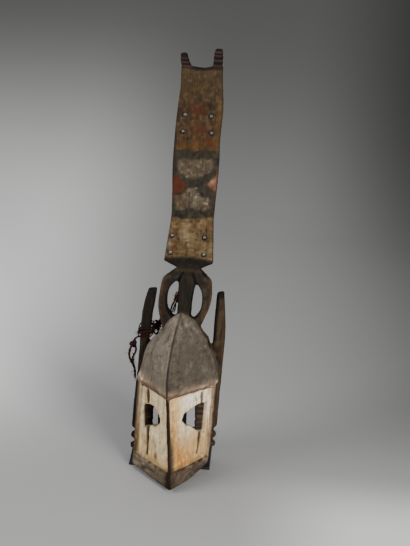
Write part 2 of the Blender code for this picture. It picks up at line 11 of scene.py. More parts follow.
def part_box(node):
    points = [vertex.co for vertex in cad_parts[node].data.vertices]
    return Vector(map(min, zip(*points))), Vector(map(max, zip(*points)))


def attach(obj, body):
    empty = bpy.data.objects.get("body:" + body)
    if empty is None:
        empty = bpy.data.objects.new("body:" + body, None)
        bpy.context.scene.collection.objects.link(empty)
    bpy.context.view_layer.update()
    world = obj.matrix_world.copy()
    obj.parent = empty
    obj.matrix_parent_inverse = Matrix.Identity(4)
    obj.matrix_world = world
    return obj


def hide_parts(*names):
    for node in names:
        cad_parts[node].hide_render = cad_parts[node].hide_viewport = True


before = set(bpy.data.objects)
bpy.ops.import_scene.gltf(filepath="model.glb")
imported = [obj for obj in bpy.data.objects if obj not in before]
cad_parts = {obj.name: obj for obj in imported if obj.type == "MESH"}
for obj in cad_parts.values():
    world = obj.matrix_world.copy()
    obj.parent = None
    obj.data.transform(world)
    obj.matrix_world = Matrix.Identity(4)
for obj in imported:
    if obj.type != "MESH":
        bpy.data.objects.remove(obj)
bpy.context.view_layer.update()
scene = bpy.context.scene

# Mask coordinates: from the leaning middle line, the nose ridge and the chin tip
AXIS_X, LEAN, Y0, Z0 = 0.0069, 0.0395, -0.221, 0.008


def place(x, y, z):
    return Vector((AXIS_X + LEAN * z + x, Y0 + y, Z0 + z))


def link(obj):
    scene.collection.objects.link(obj)
    return obj


# -------------------------------------------------------------------- camera
FOCAL, WIDTH, HEIGHT = 1213.0, 410.0, 546.0        # focal length in picture widths of one pixel
az, el, roll, distance = math.radians(5.0), math.radians(21.8), math.radians(2.5), 2.86
back = Vector((math.sin(az) * math.cos(el), -math.cos(az) * math.cos(el), math.sin(el)))
level = Vector((math.cos(az), math.sin(az), 0.0))
right = math.cos(roll) * level + math.sin(roll) * back.cross(level)
up = back.cross(right)
chin = place(0.016, 0.0, 0.0)
spot = chin + distance * back - (170.3 - WIDTH / 2) / FOCAL * distance * right + (491.6 - HEIGHT / 2) / FOCAL * distance * up
lens = bpy.data.cameras.new("camera")
lens.sensor_fit = "AUTO"
lens.sensor_width = 36.0
lens.lens = FOCAL * 36.0 / HEIGHT
lens.dof.use_dof = False
camera = link(bpy.data.objects.new("camera", lens))
camera.matrix_world = Matrix(((right.x, up.x, back.x, spot.x), (right.y, up.y, back.y, spot.y), (right.z, up.z, back.z, spot.z), (0, 0, 0, 1)))
scene.camera = camera


# ------------------------------------------------------------ node materials
def linear(colour):
    return tuple((c / 255 / 12.92 if c / 255 <= 0.04045 else ((c / 255 + 0.055) / 1.055) ** 2.4) for c in colour)


class Paint:
    """A node material written as a few calls."""

    def __init__(self, name):
        self.material = bpy.data.materials.new(name)
        self.material.use_nodes = True
        self.nodes, self.links = self.material.node_tree.nodes, self.material.node_tree.links
        self.shader = self.nodes["Principled BSDF"]
        self.where = self.nodes.new("ShaderNodeTexCoord").outputs["Object"]

    def plug(self, value, socket):
        if isinstance(value, bpy.types.NodeSocket):
            self.links.new(value, socket)
        elif isinstance(value, (tuple, list)):
            socket.default_value = (*value, 1.0) if len(value) == 3 and len(socket.default_value) == 4 else value
        else:
            socket.default_value = value

    def math(self, operation, a, b=0.0, clamp=False):
        node = self.nodes.new("ShaderNodeMath")
        node.operation, node.use_clamp = operation, clamp
        self.plug(a, node.inputs[0])
        self.plug(b, node.inputs[1])
        return node.outputs[0]

    def stretched(self, scale, turn=(0, 0, 0)):
        node = self.nodes.new("ShaderNodeMapping")
        self.plug(self.where, node.inputs["Vector"])
        node.inputs["Rotation"].default_value = turn
        node.inputs["Scale"].default_value = scale
        return node.outputs[0]

    def noise(self, scale, detail=4.0, rough=0.6, vector=None, distortion=0.0):
        node = self.nodes.new("ShaderNodeTexNoise")
        self.plug(self.where if vector is None else vector, node.inputs["Vector"])
        node.inputs["Scale"].default_value = scale
        node.inputs["Detail"].default_value = detail
        node.inputs["Roughness"].default_value = rough
        node.inputs["Distortion"].default_value = distortion
        return node.outputs["Fac"]

    def cells(self, scale, vector=None, feature="F1"):
        node = self.nodes.new("ShaderNodeTexVoronoi")
        node.feature = feature
        self.plug(self.where if vector is None else vector, node.inputs["Vector"])
        node.inputs["Scale"].default_value = scale
        return node.outputs["Distance"]

    def ramp(self, value, low, high, start=0.0, end=1.0):
        node = self.nodes.new("ShaderNodeMapRange")
        node.interpolation_type = "SMOOTHSTEP"
        self.plug(value, node.inputs["Value"])
        for key, number in (("From Min", low), ("From Max", high), ("To Min", start), ("To Max", end)):
            node.inputs[key].default_value = number
        return node.outputs["Result"]

    def attribute(self, name, colour=False):
        node = self.nodes.new("ShaderNodeAttribute")
        node.attribute_name = name
        return node.outputs["Color" if colour else "Fac"]

    def blend(self, a, b, share, kind="MIX"):
        node = self.nodes.new("ShaderNodeMix")
        node.data_type, node.blend_type = "RGBA", kind
        self.plug(share, node.inputs[0])
        self.plug(a, node.inputs[6])
        self.plug(b, node.inputs[7])
        return node.outputs[2]

    def bump(self, height, strength, distance_m, normal=None):
        node = self.nodes.new("ShaderNodeBump")
        node.inputs["Strength"].default_value = strength
        node.inputs["Distance"].default_value = distance_m
        self.plug(height, node.inputs["Height"])
        if normal is not None:
            self.plug(normal, node.inputs["Normal"])
        return node.outputs["Normal"]

    def finish(self, colour, roughness, normal=None, **values):
        self.plug(colour, self.shader.inputs["Base Color"])
        self.plug(roughness, self.shader.inputs["Roughness"])
        if normal is not None:
            self.plug(normal, self.shader.inputs["Normal"])
        for key, value in values.items():
            self.shader.inputs[key.replace("_", " ")].default_value = value
        return self.material


# --------------------------------------------------------------- fibre cords
def route(points, step):
    """Evenly spaced points on a smooth curve through the given ones."""
    points = [Vector(p) for p in points]
    points = [2 * points[0] - points[1], *points, 2 * points[-1] - points[-2]]
    fine = []
    for a, b, c, d in zip(points, points[1:], points[2:], points[3:]):
        for i in range(24):
            t = i / 24
            fine.append(0.5 * (2 * b + (c - a) * t + (2 * a - 5 * b + 4 * c - d) * t**2 + (3 * b - a - 3 * c + d) * t**3))
    fine.append(points[-2])
    total = sum((q - p).length for p, q in zip(fine, fine[1:]))
    count = max(2, round(total / step))
    even, walked, goal = [fine[0]], 0.0, total / count
    for p, q in zip(fine, fine[1:]):
        length = (q - p).length
        while walked + length >= goal and len(even) < count:
            even.append(p.lerp(q, (goal - walked) / length))
            goal += total / count
        walked += length
    return [*even, fine[-1]]


def tube(centre, radius_at, sides=8, closed=False):
    """Rings of points along a line; radius_at(i, angle) gives the radius there."""
    count = len(centre)
    rings, normal = [], None
    for i, p in enumerate(centre):
        before, after = centre[(i - 1) % count if closed else max(i - 1, 0)], centre[(i + 1) % count if closed else min(i + 1, count - 1)]
        along = (after - before).normalized()
        if normal is None:
            normal = along.orthogonal().normalized()
        normal = (normal - along * normal.dot(along)).normalized()
        other = along.cross(normal)
        ring = []
        for k in range(sides):
            angle = 2 * math.pi * k / sides
            r = radius_at(i, angle)
            ring.append(p + normal * (r * math.cos(angle)) + other * (r * math.sin(angle)))
        rings.append(ring)
    return rings


def skin(form, rings, closed=False):
    rows = [[form.verts.new(p) for p in ring] for ring in rings]
    sides = len(rows[0])
    pairs = list(zip(rows, rows[1:])) + ([(rows[-1], rows[0])] if closed else [])
    for low, high in pairs:
        for k in range(sides):
            form.faces.new((low[k], low[(k + 1) % sides], high[(k + 1) % sides], high[k]))
    if not closed:
        form.faces.new(list(reversed(rows[0])))
        form.faces.new(rows[-1])


def piece(name, form, material, smooth=True):
    bmesh.ops.recalc_face_normals(form, faces=form.faces[:])
    mesh = bpy.data.meshes.new(name)
    form.to_mesh(mesh)
    form.free()
    for face in mesh.polygons:
        face.use_smooth = smooth
    mesh.materials.append(material)
    obj = link(bpy.data.objects.new(name, mesh))
    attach(obj, "root")
    return obj


def fibre_material(name, dark, light, red):
    p = Paint(name)
    long_noise = p.noise(160, 3, 0.6)
    fine = p.noise(1500, 2, 0.6)
    colour = p.blend(linear(dark), linear(light), p.ramp(fine, 0.35, 0.7))
    colour = p.blend(colour, linear(red), p.ramp(long_noise, 0.42, 0.62))
    colour = p.blend(colour, linear([c * 0.45 for c in dark]), p.ramp(p.noise(60, 2, 0.5), 0.55, 0.75))
    return p.finish(colour, 0.92, p.bump(fine, 0.6, 0.0006), Specular_IOR_Level=0.08)


fibre_dark = fibre_material("fibre_dark", (15, 9, 8), (40, 22, 17), (40, 15, 12))
fibre_orange = fibre_material("fibre_orange", (112, 66, 38), (186, 124, 80), (150, 80, 44))


def cord_piece(name, points, diameter, plump=lambda p: 1.0):
    """A two-ply cord with a slightly uneven lay."""
    line = route([place(*p) for p in points], 0.0011)
    rng = np.random.default_rng(len(points))
    swell = np.convolve(rng.normal(0, 1, len(line) + 16), np.ones(9) / 9, "same")[8:8 + len(line)]

    def radius_at(i, angle):
        ply = abs(math.cos(angle - i * 0.30))
        return diameter / 2 * (0.74 + 0.30 * ply**0.7 + 0.10 * swell[i]) * plump(line[i])

    form = bmesh.new()
    skin(form, tube(line, radius_at, sides=12))
    return piece(name, form, fibre_dark), line


CORD = ((-0.0126, 0.1428, 0.4534), (-0.0175, 0.1428, 0.4403), (-0.0225, 0.1430, 0.4269), (-0.0276, 0.1440, 0.4133),
        (-0.0308, 0.1455, 0.3997), (-0.0362, 0.1475, 0.3873), (-0.0457, 0.1495, 0.3760), (-0.0573, 0.1505, 0.3668),
        (-0.0655, 0.1455, 0.3595), (-0.0683, 0.1340, 0.3575), (-0.0700, 0.1222, 0.3572), (-0.0790, 0.1180, 0.3555),
        (-0.0900, 0.1180, 0.3515), (-0.0985, 0.1222, 0.3478), (-0.1010, 0.1350, 0.3450), (-0.1000, 0.1515, 0.3430),
        (-0.0930, 0.1600, 0.3415), (-0.0800, 0.1595, 0.3412), (-0.0710, 0.1540, 0.3430), (-0.0690, 0.1400, 0.3460),
        (-0.0705, 0.1245, 0.3480), (-0.0770, 0.1182, 0.3475), (-0.0880, 0.1178, 0.3440), (-0.0985, 0.1205, 0.3390),
        (-0.1042, 0.1245, 0.3340), (-0.1085, 0.1250, 0.3275), (-0.1110, 0.1240, 0.3179), (-0.1155, 0.1240, 0.3083),
        (-0.1180, 0.1240, 0.2988), (-0.1185, 0.1240, 0.2896), (-0.1167, 0.1240, 0.2792), (-0.1122, 0.1240, 0.2701),
        (-0.1068, 0.1240, 0.2608), (-0.1032, 0.1240, 0.2513), (-0.1016, 0.1240, 0.2395))
STRAND = ((-0.1070, 0.1285, 0.3140), (-0.1040, 0.1285, 0.3050), (-0.1046, 0.1285, 0.2950), (-0.1082, 0.1285, 0.2859),
          (-0.1104, 0.1288, 0.2765), (-0.1092, 0.1294, 0.2670), (-0.1060, 0.1296, 0.2568), (-0.1035, 0.1298, 0.2450),
          (-0.1022, 0.1300, 0.2330), (-0.1018, 0.1300, 0.2248))
END = ((-0.0160, 0.1465, 0.4300), (-0.0215, 0.1478, 0.4150), (-0.0262, 0.1485, 0.3990), (-0.0315, 0.1470, 0.3850),
       (-0.0410, 0.1425, 0.3760), (-0.0485, 0.1412, 0.3700), (-0.0525, 0.1400, 0.3610), (-0.0540, 0.1385, 0.3520),
       (-0.0565, 0.1370, 0.3455), (-0.0608, 0.1358, 0.3435), (-0.0640, 0.1352, 0.3480), (-0.0636, 0.1356, 0.3570),
       (-0.0615, 0.1365, 0.3670))

main_cord, main_line = cord_piece("cord_main", CORD, 0.0042, lambda p: 1.26 if p.z < Z0 + 0.330 else 1.0)
strand_cord, strand_line = cord_piece("cord_strand", STRAND, 0.0042, lambda p: 1.22)
end_cord, end_line = cord_piece("cord_end", END, 0.0030)


def knot(name, centre, size, thickness, turn, material):
    """A tight overhand knot: a trefoil of cord."""
    count = 72
    spin = Matrix.Rotation(turn[0], 3, "X") @ Matrix.Rotation(turn[1], 3, "Y") @ Matrix.Rotation(turn[2], 3, "Z")
    line = []
    for i in range(count):
        t = 2 * math.pi * i / count
        p = Vector((math.sin(t) + 2 * math.sin(2 * t), math.cos(t) - 2 * math.cos(2 * t), -1.3 * math.sin(3 * t))) / 3
        line.append(place(*centre) + spin @ p * size)
    form = bmesh.new()
    skin(form, tube(line, lambda i, a: thickness * (0.80 + 0.28 * abs(math.cos(a - i * 0.35))), sides=10, closed=True), closed=True)
    return piece(name, form, material)


def wisps(name, starts, material, seed, length=(0.006, 0.014), thickness=0.00035, spread=0.8, droop=0.35):
    """Loose fibres: each start is (point, direction) in the part's frame."""
    rng = np.random.default_rng(seed)
    form = bmesh.new()
    for origin, direction in starts:
        span = rng.uniform(*length)
        heading = (Vector(direction).normalized() + Vector(rng.normal(0, spread * 0.5, 3))).normalized()
        bend = Vector(rng.normal(0, 0.5, 3)) * 0.5 + Vector((0, 0, -droop))
        line = [Vector(origin) + heading * span * t + bend * span * t * t * 0.6 for t in (0, 0.25, 0.5, 0.75, 1.0)]
        skin(form, tube(line, lambda i, a: thickness * (1.0 - 0.17 * i), sides=5))
    return piece(name, form, material)


def along(line, rng, count, low=0.0, high=1.0):
    starts = []
    for _ in range(count):
        i = int(rng.uniform(low, high) * (len(line) - 2)) + 1
        tangent = (line[i + 1 if i + 1 < len(line) else i] - line[i - 1]).normalized()
        side = tangent.orthogonal().normalized()
        side.rotate(Matrix.Rotation(rng.uniform(0, 2 * math.pi), 3, tangent))
        starts.append((line[i] + side * 0.0012, side + tangent * rng.uniform(-0.6, 0.9)))
    return starts


rng = np.random.default_rng(11)
def lashing(name, centre, rise, half_x, half_y, thickness, phase, material):
    """One more turn round the bar, tilted across it."""
    count, line = 84, []
    for i in range(count):
        t = 2 * math.pi * i / count
        c, d = math.cos(t), math.sin(t)
        x, y = half_x * math.copysign(abs(c) ** 0.55, c), half_y * math.copysign(abs(d) ** 0.55, d)
        line.append(place(centre[0] + x, centre[1] + y, centre[2] + rise * c + 0.0009 * math.sin(3 * t + phase)))
    form = bmesh.new()
    skin(form, tube(line, lambda i, a: thickness * (0.80 + 0.26 * abs(math.cos(a - i * 0.33 + phase))), sides=10, closed=True), closed=True)
    return piece(name, form, material)


def bight(name, points, thickness, material):
    """A short loose loop of cord."""
    line = route([place(*p) for p in points], 0.0009)
    form = bmesh.new()
    skin(form, tube(line, lambda i, a: thickness * (0.80 + 0.26 * abs(math.cos(a - i * 0.35))), sides=10))
    return piece(name, form, material)


post_knots = [knot("knot_at_post", (-0.0150, 0.1440, 0.4385), 0.0072, 0.0019, (0.4, 0.3, 0.2), fibre_orange),
              knot("knot_below_post_knot", (-0.0176, 0.1440, 0.4306), 0.0060, 0.0018, (1.1, 0.5, 0.7), fibre_orange),
              bight("bight_at_post", ((-0.0150, 0.1450, 0.4370), (-0.0195, 0.1440, 0.4400), (-0.0205, 0.1430, 0.4470), (-0.0160, 0.1440, 0.4505), (-0.0135, 0.1450, 0.4450), (-0.0160, 0.1445, 0.4360)), 0.0014, fibre_orange),
              bight("strand_below_knot", ((-0.0172, 0.1450, 0.4290), (-0.0192, 0.1470, 0.4220), (-0.0196, 0.1480, 0.4120), (-0.0205, 0.1485, 0.4040), (-0.0225, 0.1480, 0.3960)), 0.0015, fibre_orange)]
post_knots.append(bight("loop_at_post_knot", ((-0.0168, 0.1450, 0.4300), (-0.0215, 0.1440, 0.4330), (-0.0222, 0.1440, 0.4400), (-0.0172, 0.1445, 0.4420)), 0.0013, fibre_orange))
tuft = wisps("tuft_at_post", [(place(-0.0165, 0.1440, 0.4350) + Vector((rng.normal(0, 0.0026), rng.normal(0, 0.0020), rng.normal(0, 0.0050))), Vector(rng.normal(0, 1, 3)) + Vector((-0.6, 0, 0.3))) for _ in range(64)],
             fibre_orange, 3, (0.005, 0.012), 0.0005, 0.9, 0.1)
mass_knots = [knot("knot_behind_loop", (-0.0500, 0.1475, 0.3712), 0.0078, 0.0021, (0.9, 0.2, 1.0), fibre_dark),
              knot("knot_by_loop", (-0.0575, 0.1470, 0.3655), 0.0074, 0.0021, (0.2, 0.9, 0.3), fibre_dark),
              knot("knot_by_bar", (-0.0648, 0.1430, 0.3598), 0.0078, 0.0021, (0.3, 1.0, 0.4), fibre_dark),
              knot("knot_low", (-0.0560, 0.1405, 0.3560), 0.0052, 0.0017, (1.3, 0.6, 0.1), fibre_dark),
              bight("bight_low", ((-0.0660, 0.1360, 0.3580), (-0.0655, 0.1330, 0.3500), (-0.0610, 0.1325, 0.3440), (-0.0560, 0.1330, 0.3450), (-0.0545, 0.1350, 0.3530), (-0.0560, 0.1380, 0.3610)), 0.0015, fibre_dark),
              bight("bight_high", ((-0.0480, 0.1480, 0.3730), (-0.0450, 0.1440, 0.3690), (-0.0455, 0.1420, 0.3620), (-0.0500, 0.1415, 0.3590), (-0.0545, 0.1430, 0.3640)), 0.0014, fibre_dark)]
turns = [lashing("lashing_upper", (-0.0843, 0.1400, 0.3610), 0.0050, 0.0168, 0.0218, 0.0014, 0.3, fibre_dark),
         lashing("lashing_lower", (-0.0843, 0.1400, 0.3398), 0.0036, 0.0170, 0.0218, 0.0014, 1.6, fibre_dark),
         lashing("lashing_over", (-0.0843, 0.1400, 0.3512), 0.0062, 0.0182, 0.0232, 0.0015, 2.6, fibre_dark)]
loop_knot = knot("knot_outside_bar", (-0.1103, 0.1262, 0.3165), 0.0078, 0.0024, (1.2, 0.1, 0.5), fibre_dark)
join_knot = knot("knot_joining_strands", (-0.1108, 0.1265, 0.2722), 0.0046, 0.0017, (1.3, 0.4, 0.2), fibre_dark)
main_wisps = wisps("wisps_main", along(main_line, rng, 110, 0.02, 0.98), fibre_dark, 5)
mass_wisps = wisps("wisps_mass", [(place(-0.0575, 0.1440, 0.3640) + Vector((rng.normal(0, 0.0075), rng.normal(0, 0.002), rng.normal(0, 0.0045))), Vector(rng.normal(0, 1, 3)) + Vector((0, -0.4, -0.5))) for _ in range(60)],
                   fibre_dark, 15, (0.005, 0.011), 0.0005, 0.9, 0.4)
strand_wisps = wisps("wisps_strand", along(strand_line, rng, 22) + [(strand_line[-1], Vector((0.0, 0.0, -1.0)))] * 7, fibre_dark, 6, (0.005, 0.012), 0.0004, 0.35, 0.1)
end_wisps = wisps("wisps_end", along(end_line, rng, 26) + [(end_line[-1], Vector((0.2, -0.2, 1.0)))] * 7, fibre_dark, 7, (0.005, 0.011), 0.0004, 0.45, 0.2)
cord_tip = wisps("wisps_tip", [(main_line[-1], Vector((0.0, 0.0, -1.0)))] * 7, fibre_dark, 8, (0.006, 0.011), 0.0004, 0.35, 0.0)


for obj, line, node, thick, extras, goal in (
        (main_cord, main_line, "fibre_cord", 0.0042, [*post_knots, tuft, *mass_knots, *turns, loop_knot, main_wisps, mass_wisps, cord_tip], "bare"),
        (strand_cord, strand_line, "fibre_strand", 0.0042, [join_knot, strand_wisps], "bare"),
        (end_cord, end_line, "fibre_end", 0.0030, [end_wisps], "bare")):
    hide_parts(node)


# ------------------------------------------------------------ numbers on arrays
def lattice(x, y, z, seed):
    h = (x.astype(np.int64) * 374761393 + y.astype(np.int64) * 668265263 + z.astype(np.int64) * 1442695041 + seed * 974634777) & 0xFFFFFFFF
    h = ((h ^ (h >> 13)) * 1274126177) & 0xFFFFFFFF
    return ((h ^ (h >> 16)) & 0xFFFFFF) / 0xFFFFFF * 2 - 1


def noise(p, seed=0):
    """Smooth noise from -1 to 1 at points already scaled to its cell size."""
    cell = np.floor(p)
    t = p - cell
    t = t * t * (3 - 2 * t)
    cell = cell.astype(np.int64)
    total = 0
    for dx in (0, 1):
        for dy in (0, 1):
            for dz in (0, 1):
                w = (t[:, 0] if dx else 1 - t[:, 0]) * (t[:, 1] if dy else 1 - t[:, 1]) * (t[:, 2] if dz else 1 - t[:, 2])
                total = total + w * lattice(cell[:, 0] + dx, cell[:, 1] + dy, cell[:, 2] + dz, seed)
    return total


def fbm(p, octaves=4, seed=0, gain=0.5):
    total, size, norm = 0, 1.0, 0.0
    for k in range(octaves):
        total = total + size * noise(p * 2**k + 17.3 * k, seed + k)
        norm += size
        size *= gain
    return total / norm


def step(low, high, x):
    t = np.clip((x - low) / (high - low), 0, 1)
    return t * t * (3 - 2 * t)


def band(low, high, x, soft):
    return step(low - soft, low + soft, x) * (1 - step(high - soft, high + soft, x))


def spot_at(a, b, ca, cb, ra, rb):
    return np.exp(-(((a - ca) / ra) ** 2 + ((b - cb) / rb) ** 2))


# --------------------------------------------------------- the carving's mesh
RIDGE_Z = (0.0, 0.120, 0.232, 0.276, 0.316, 0.348, 0.384, 0.405, 0.415)
RIDGE_X = (0.0155, 0.0036, -0.0082, -0.0130, -0.0140, -0.0125, -0.0080, -0.0040, -0.0020)
BROW_Z, HOOD_Z, HOOD_HEIGHT, HOOD_SETBACK = 0.232, 0.250, 0.165, 0.095
FACE_HALF, HOOD_HALF, PROW_DEPTH, PROW_SKEW, PANEL_SINK = 0.0915, 0.099, 0.108, 0.004, 0.007
CREST_X, CREST_Y, PLANK_TOP_Z = 0.0045, 0.123, 0.986
VOXEL = 0.00257

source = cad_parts["mask"]
form = bmesh.new()
form.from_mesh(source.data)
bmesh.ops.remove_doubles(form, verts=form.verts[:], dist=0.000002)
coarse = bpy.data.meshes.new("carving_coarse")
form.to_mesh(coarse)
form.free()
holder = link(bpy.data.objects.new("carving_coarse", coarse))
remesh = holder.modifiers.new("even", "REMESH")
remesh.mode = "VOXEL"
remesh.voxel_size = VOXEL
bpy.context.view_layer.update()
mesh = bpy.data.meshes.new_from_object(holder.evaluated_get(bpy.context.evaluated_depsgraph_get()))
bpy.data.objects.remove(holder, do_unlink=True)
mesh.name = "carving"
count = len(mesh.vertices)
co = np.empty(count * 3, np.float32)
mesh.vertices.foreach_get("co", co)
co = co.reshape(-1, 3).astype(np.float64)
edges = np.empty(len(mesh.edges) * 2, np.int32)
mesh.edges.foreach_get("vertices", edges)
edges = edges.reshape(-1, 2)
degree = np.maximum(np.bincount(edges.ravel(), minlength=count), 1)


def neighbours_mean(values):
    """Mean over each vertex's neighbours, column by column."""
    values = values.reshape(count, -1)
    out = np.empty_like(values)
    for k in range(values.shape[1]):
        out[:, k] = (np.bincount(edges[:, 0], values[edges[:, 1], k], count) + np.bincount(edges[:, 1], values[edges[:, 0], k], count)) / degree
    return out


def relax(points, weight, rounds, factor=0.5):
    for _ in range(rounds):
        points = points + (neighbours_mean(points) - points) * (factor * weight)[:, None]
    return points


def mask_coordinates(points):
    z = points[:, 2] - Z0
    return points[:, 0] - AXIS_X - LEAN * z, points[:, 1] - Y0, z


def normals_of(points):
    mesh.vertices.foreach_set("co", points.astype(np.float32).ravel())
    mesh.update()
    out = np.empty(count * 3, np.float32)
    mesh.vertex_normals.foreach_get("vector", out)
    return out.reshape(-1, 3).astype(np.float64)


mx, my, mz = mask_coordinates(co)
plank_zone = step(0.512, 0.528, mz)
loop_zone = (1 - plank_zone) * step(0.345, 0.365, mz) * step(0.1045, 0.1075, my) * (1 - step(0.0642, 0.0665, np.abs(mx - CREST_X)))
bar_zone = step(0.064, 0.068, np.abs(mx)) * step(0.335, 0.350, mz) * (1 - plank_zone)
bar_zone = np.maximum(bar_zone, step(0.0925, 0.0955, np.abs(mx)) * step(0.117, 0.121, my) * (1 - plank_zone))
co = relax(co, np.ones(count), 1, 0.5)
co = relax(co, np.clip(loop_zone * 0.9 + bar_zone * step(0.14, 0.18, mz) * (1 - step(0.436, 0.448, mz)) * 0.6, 0, 1), 4, 0.6)
normal = normals_of(co)
mx, my, mz = mask_coordinates(co)

# Place on the prow's two faces
up_share = np.clip((mz - HOOD_Z) / HOOD_HEIGHT, 0, 1)
ridge_x = np.interp(mz, RIDGE_Z, RIDGE_X)
ridge_y = -0.004 * np.clip((mz - BROW_Z) / 0.006, 0, 1) * (1 - up_share) + HOOD_SETBACK * up_share**1.5
side = np.where(mx > ridge_x, 1.0, -1.0)
hood_half = HOOD_HALF * (1 - np.minimum(up_share, 1) ** 1.3) ** 0.62
left_trim = np.interp(mz, (0.232, 0.240, 0.246, 0.260, 0.270, 0.285, 0.303, 0.325, 0.350, 0.378, 0.400, 0.412), (0, 0.0040, 0.0065, 0.0100, 0.0092, 0.0064, 0.0028, -0.0006, -0.0018, -0.0012, 0.0012, 0))
hood_half = hood_half + np.where(side < 0, -0.0120 * np.exp(-(((mz - 0.368) / 0.021) ** 2)) - left_trim, 0.0050 * np.exp(-(((mz - 0.400) / 0.011) ** 2)) + 0.0020 * np.exp(-(((mz - 0.345) / 0.020) ** 2)) + 0.0046 * np.exp(-(((mz - 0.3535) / 0.0085) ** 2)))
half = np.where(mz < BROW_Z, FACE_HALF, np.where(mz < HOOD_Z, FACE_HALF + (HOOD_HALF - FACE_HALF) * np.clip((mz - BROW_Z) / 0.008, 0, 1) - left_trim * (side < 0), hood_half))
cx, cy = side * half, PROW_DEPTH + side * PROW_SKEW * (1 - up_share) - 0.008 * up_share**2
dx, dy = cx - ridge_x, cy - ridge_y
run = np.maximum(np.hypot(dx, dy), 0.004)
share = ((mx - ridge_x) * dx + (my - ridge_y) * dy) / run**2          # 0 at the ridge, 1 at the corner
depth = (-(mx - ridge_x) * side * dy + (my - ridge_y) * side * dx) / run  # inward from the prow's face
signed = side * share
brow_edge = BROW_Z + 0.011 * (1 - np.clip(share, 0, 1))

# Parts of the surface
outer_front = (1 - step(0.012, 0.016, depth)) * (mz < 0.43) * (share < 1.06)
face_side = np.array(side * dy / run) * normal[:, 0] * 1.0 - side * dx / run * normal[:, 1]   # 1 where it faces straight out of the prow
below_brow = 1 - step(-0.0015, 0.0015, mz - brow_edge + 0.001)
panel_out = np.where(side < 0, np.interp(mz, (0.034, 0.13, 0.228), (0.985, 0.935, 0.875)), np.interp(mz, (0.040, 0.13, 0.228), (0.975, 0.980, 0.985)))
in_panel_plan = step(0.050, 0.066, share) * (1 - step(panel_out - 0.012, panel_out + 0.008, share)) * step(0.034, 0.042, mz) * below_brow
panel = in_panel_plan * step(0.45, 0.75, face_side) * step(0.003, 0.0055, depth) * (1 - step(0.010, 0.013, depth))
inner_front = step(0.020, 0.026, depth) * (np.abs(mx) < 0.0785) * (mz < 0.3435) * (my < 0.150) * (mz > -0.01)
inner_rear = (np.abs(mx) < 0.0785) * (my > 0.140) * (mz < 0.3435) * (normal[:, 2] < 0.5)
roof = 0.35 * np.clip(my - PROW_DEPTH, 0, 0.030) + 0.95 * np.maximum(my - PROW_DEPTH - 0.030, 0)
inner = np.clip(inner_front * 1.0 + inner_rear * 1.0 * (depth > 0.02), 0, 1) * (1 - plank_zone) * (1 - loop_zone)
EYES = {-1: ((0.800, 0.117), (0.820, 0.178), (0.640, 0.188), (0.480, 0.191), (0.320, 0.172), (0.322, 0.160), (0.460, 0.141), (0.580, 0.138)),
        1: ((0.878, 0.1095), (0.884, 0.150), (0.892, 0.189), (0.740, 0.192), (0.610, 0.188), (0.412, 0.182), (0.366, 0.167), (0.457, 0.150), (0.560, 0.144), (0.670, 0.129))}


def edge_distance(u, v, outline):
    """Distance to a closed outline, in the outline's own units."""
    best = np.full(len(u), 1e9)
    for (ax, ay), (bx, by) in zip(outline, outline[1:] + outline[:1]):
        ex, ey = bx - ax, by - ay
        t = np.clip(((u - ax) * ex + (v - ay) * ey) / (ex * ex + ey * ey), 0, 1)
        best = np.minimum(best, np.hypot(u - ax - t * ex, v - ay - t * ey))
    return best


eye_gap = np.full(count, 1.0)
for which, outline in EYES.items():
    scaled = [(s * 0.142, z) for s, z in outline]
    near = edge_distance(share * 0.142, mz, scaled)
    eye_gap = np.where(side == which, near, eye_gap)
most = np.where(side > 0, 0.350, 0.115 + 0.070 * np.clip((mz - 0.117) / 0.061, 0, 1))      # the outer jambs run toward the nose
outer_line = np.where(side > 0, np.interp(mz, (0.1095, 0.150, 0.189), (0.878, 0.884, 0.892)), np.interp(mz, (0.117, 0.178), (0.800, 0.820)))
jamb_line = outer_line - most * np.clip((depth - 0.006) / 0.054, 0, 1)
slanted = (np.abs(share - jamb_line) * run < 0.0040) * (mz > np.where(side > 0, 0.106, 0.112)) * (mz < np.where(side > 0, 0.194, 0.188))
jamb = np.maximum(1 - step(0.0022, 0.0040, eye_gap), slanted) * step(0.0085, 0.0115, depth) * (1 - step(0.040, 0.046, depth)) * (mz < 0.215) * (mz > 0.09)
front_plank = plank_zone * step(0.45, 0.8, -normal[:, 1])
hood = outer_front * (1 - below_brow) * (1 - loop_zone) * (1 - bar_zone)
crest_u = mx - CREST_X

# ------------------------------------------------------------ relief, in metres
shift = np.zeros(count)
quiet = np.ones(count)
post_low, post_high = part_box("stand_post")
gap = np.maximum.reduce([post_low.x - 0.004 - co[:, 0], co[:, 0] - post_high.x - 0.004, post_low.y - 0.004 - co[:, 1], co[:, 1] - post_high.y - 0.004, co[:, 2] - post_high.z - 0.004])
quiet *= step(0.0, 0.004, gap)
shift += 0.00055 * fbm(co * 42, 4, 1) + 0.00022 * fbm(co * 190, 3, 9)
shift += (hood * 0.0008 + loop_zone * 0.0011 + bar_zone * 0.0007 + inner * 0.0010) * fbm(co * np.array([60, 60, 38]), 3, 21)
shift += front_plank * 0.00045 * fbm(np.stack([crest_u * 260, my * 20, mz * 14], 1), 4, 33)
shift += panel * 0.00045 * fbm(np.stack([signed * 42, np.zeros(count), mz * 14], 1), 4, 41)
# adzed jambs: cuts across
shift += jamb * 0.0007 * fbm(np.stack([mx * 22, my * 22, mz * 260], 1), 3, 47)

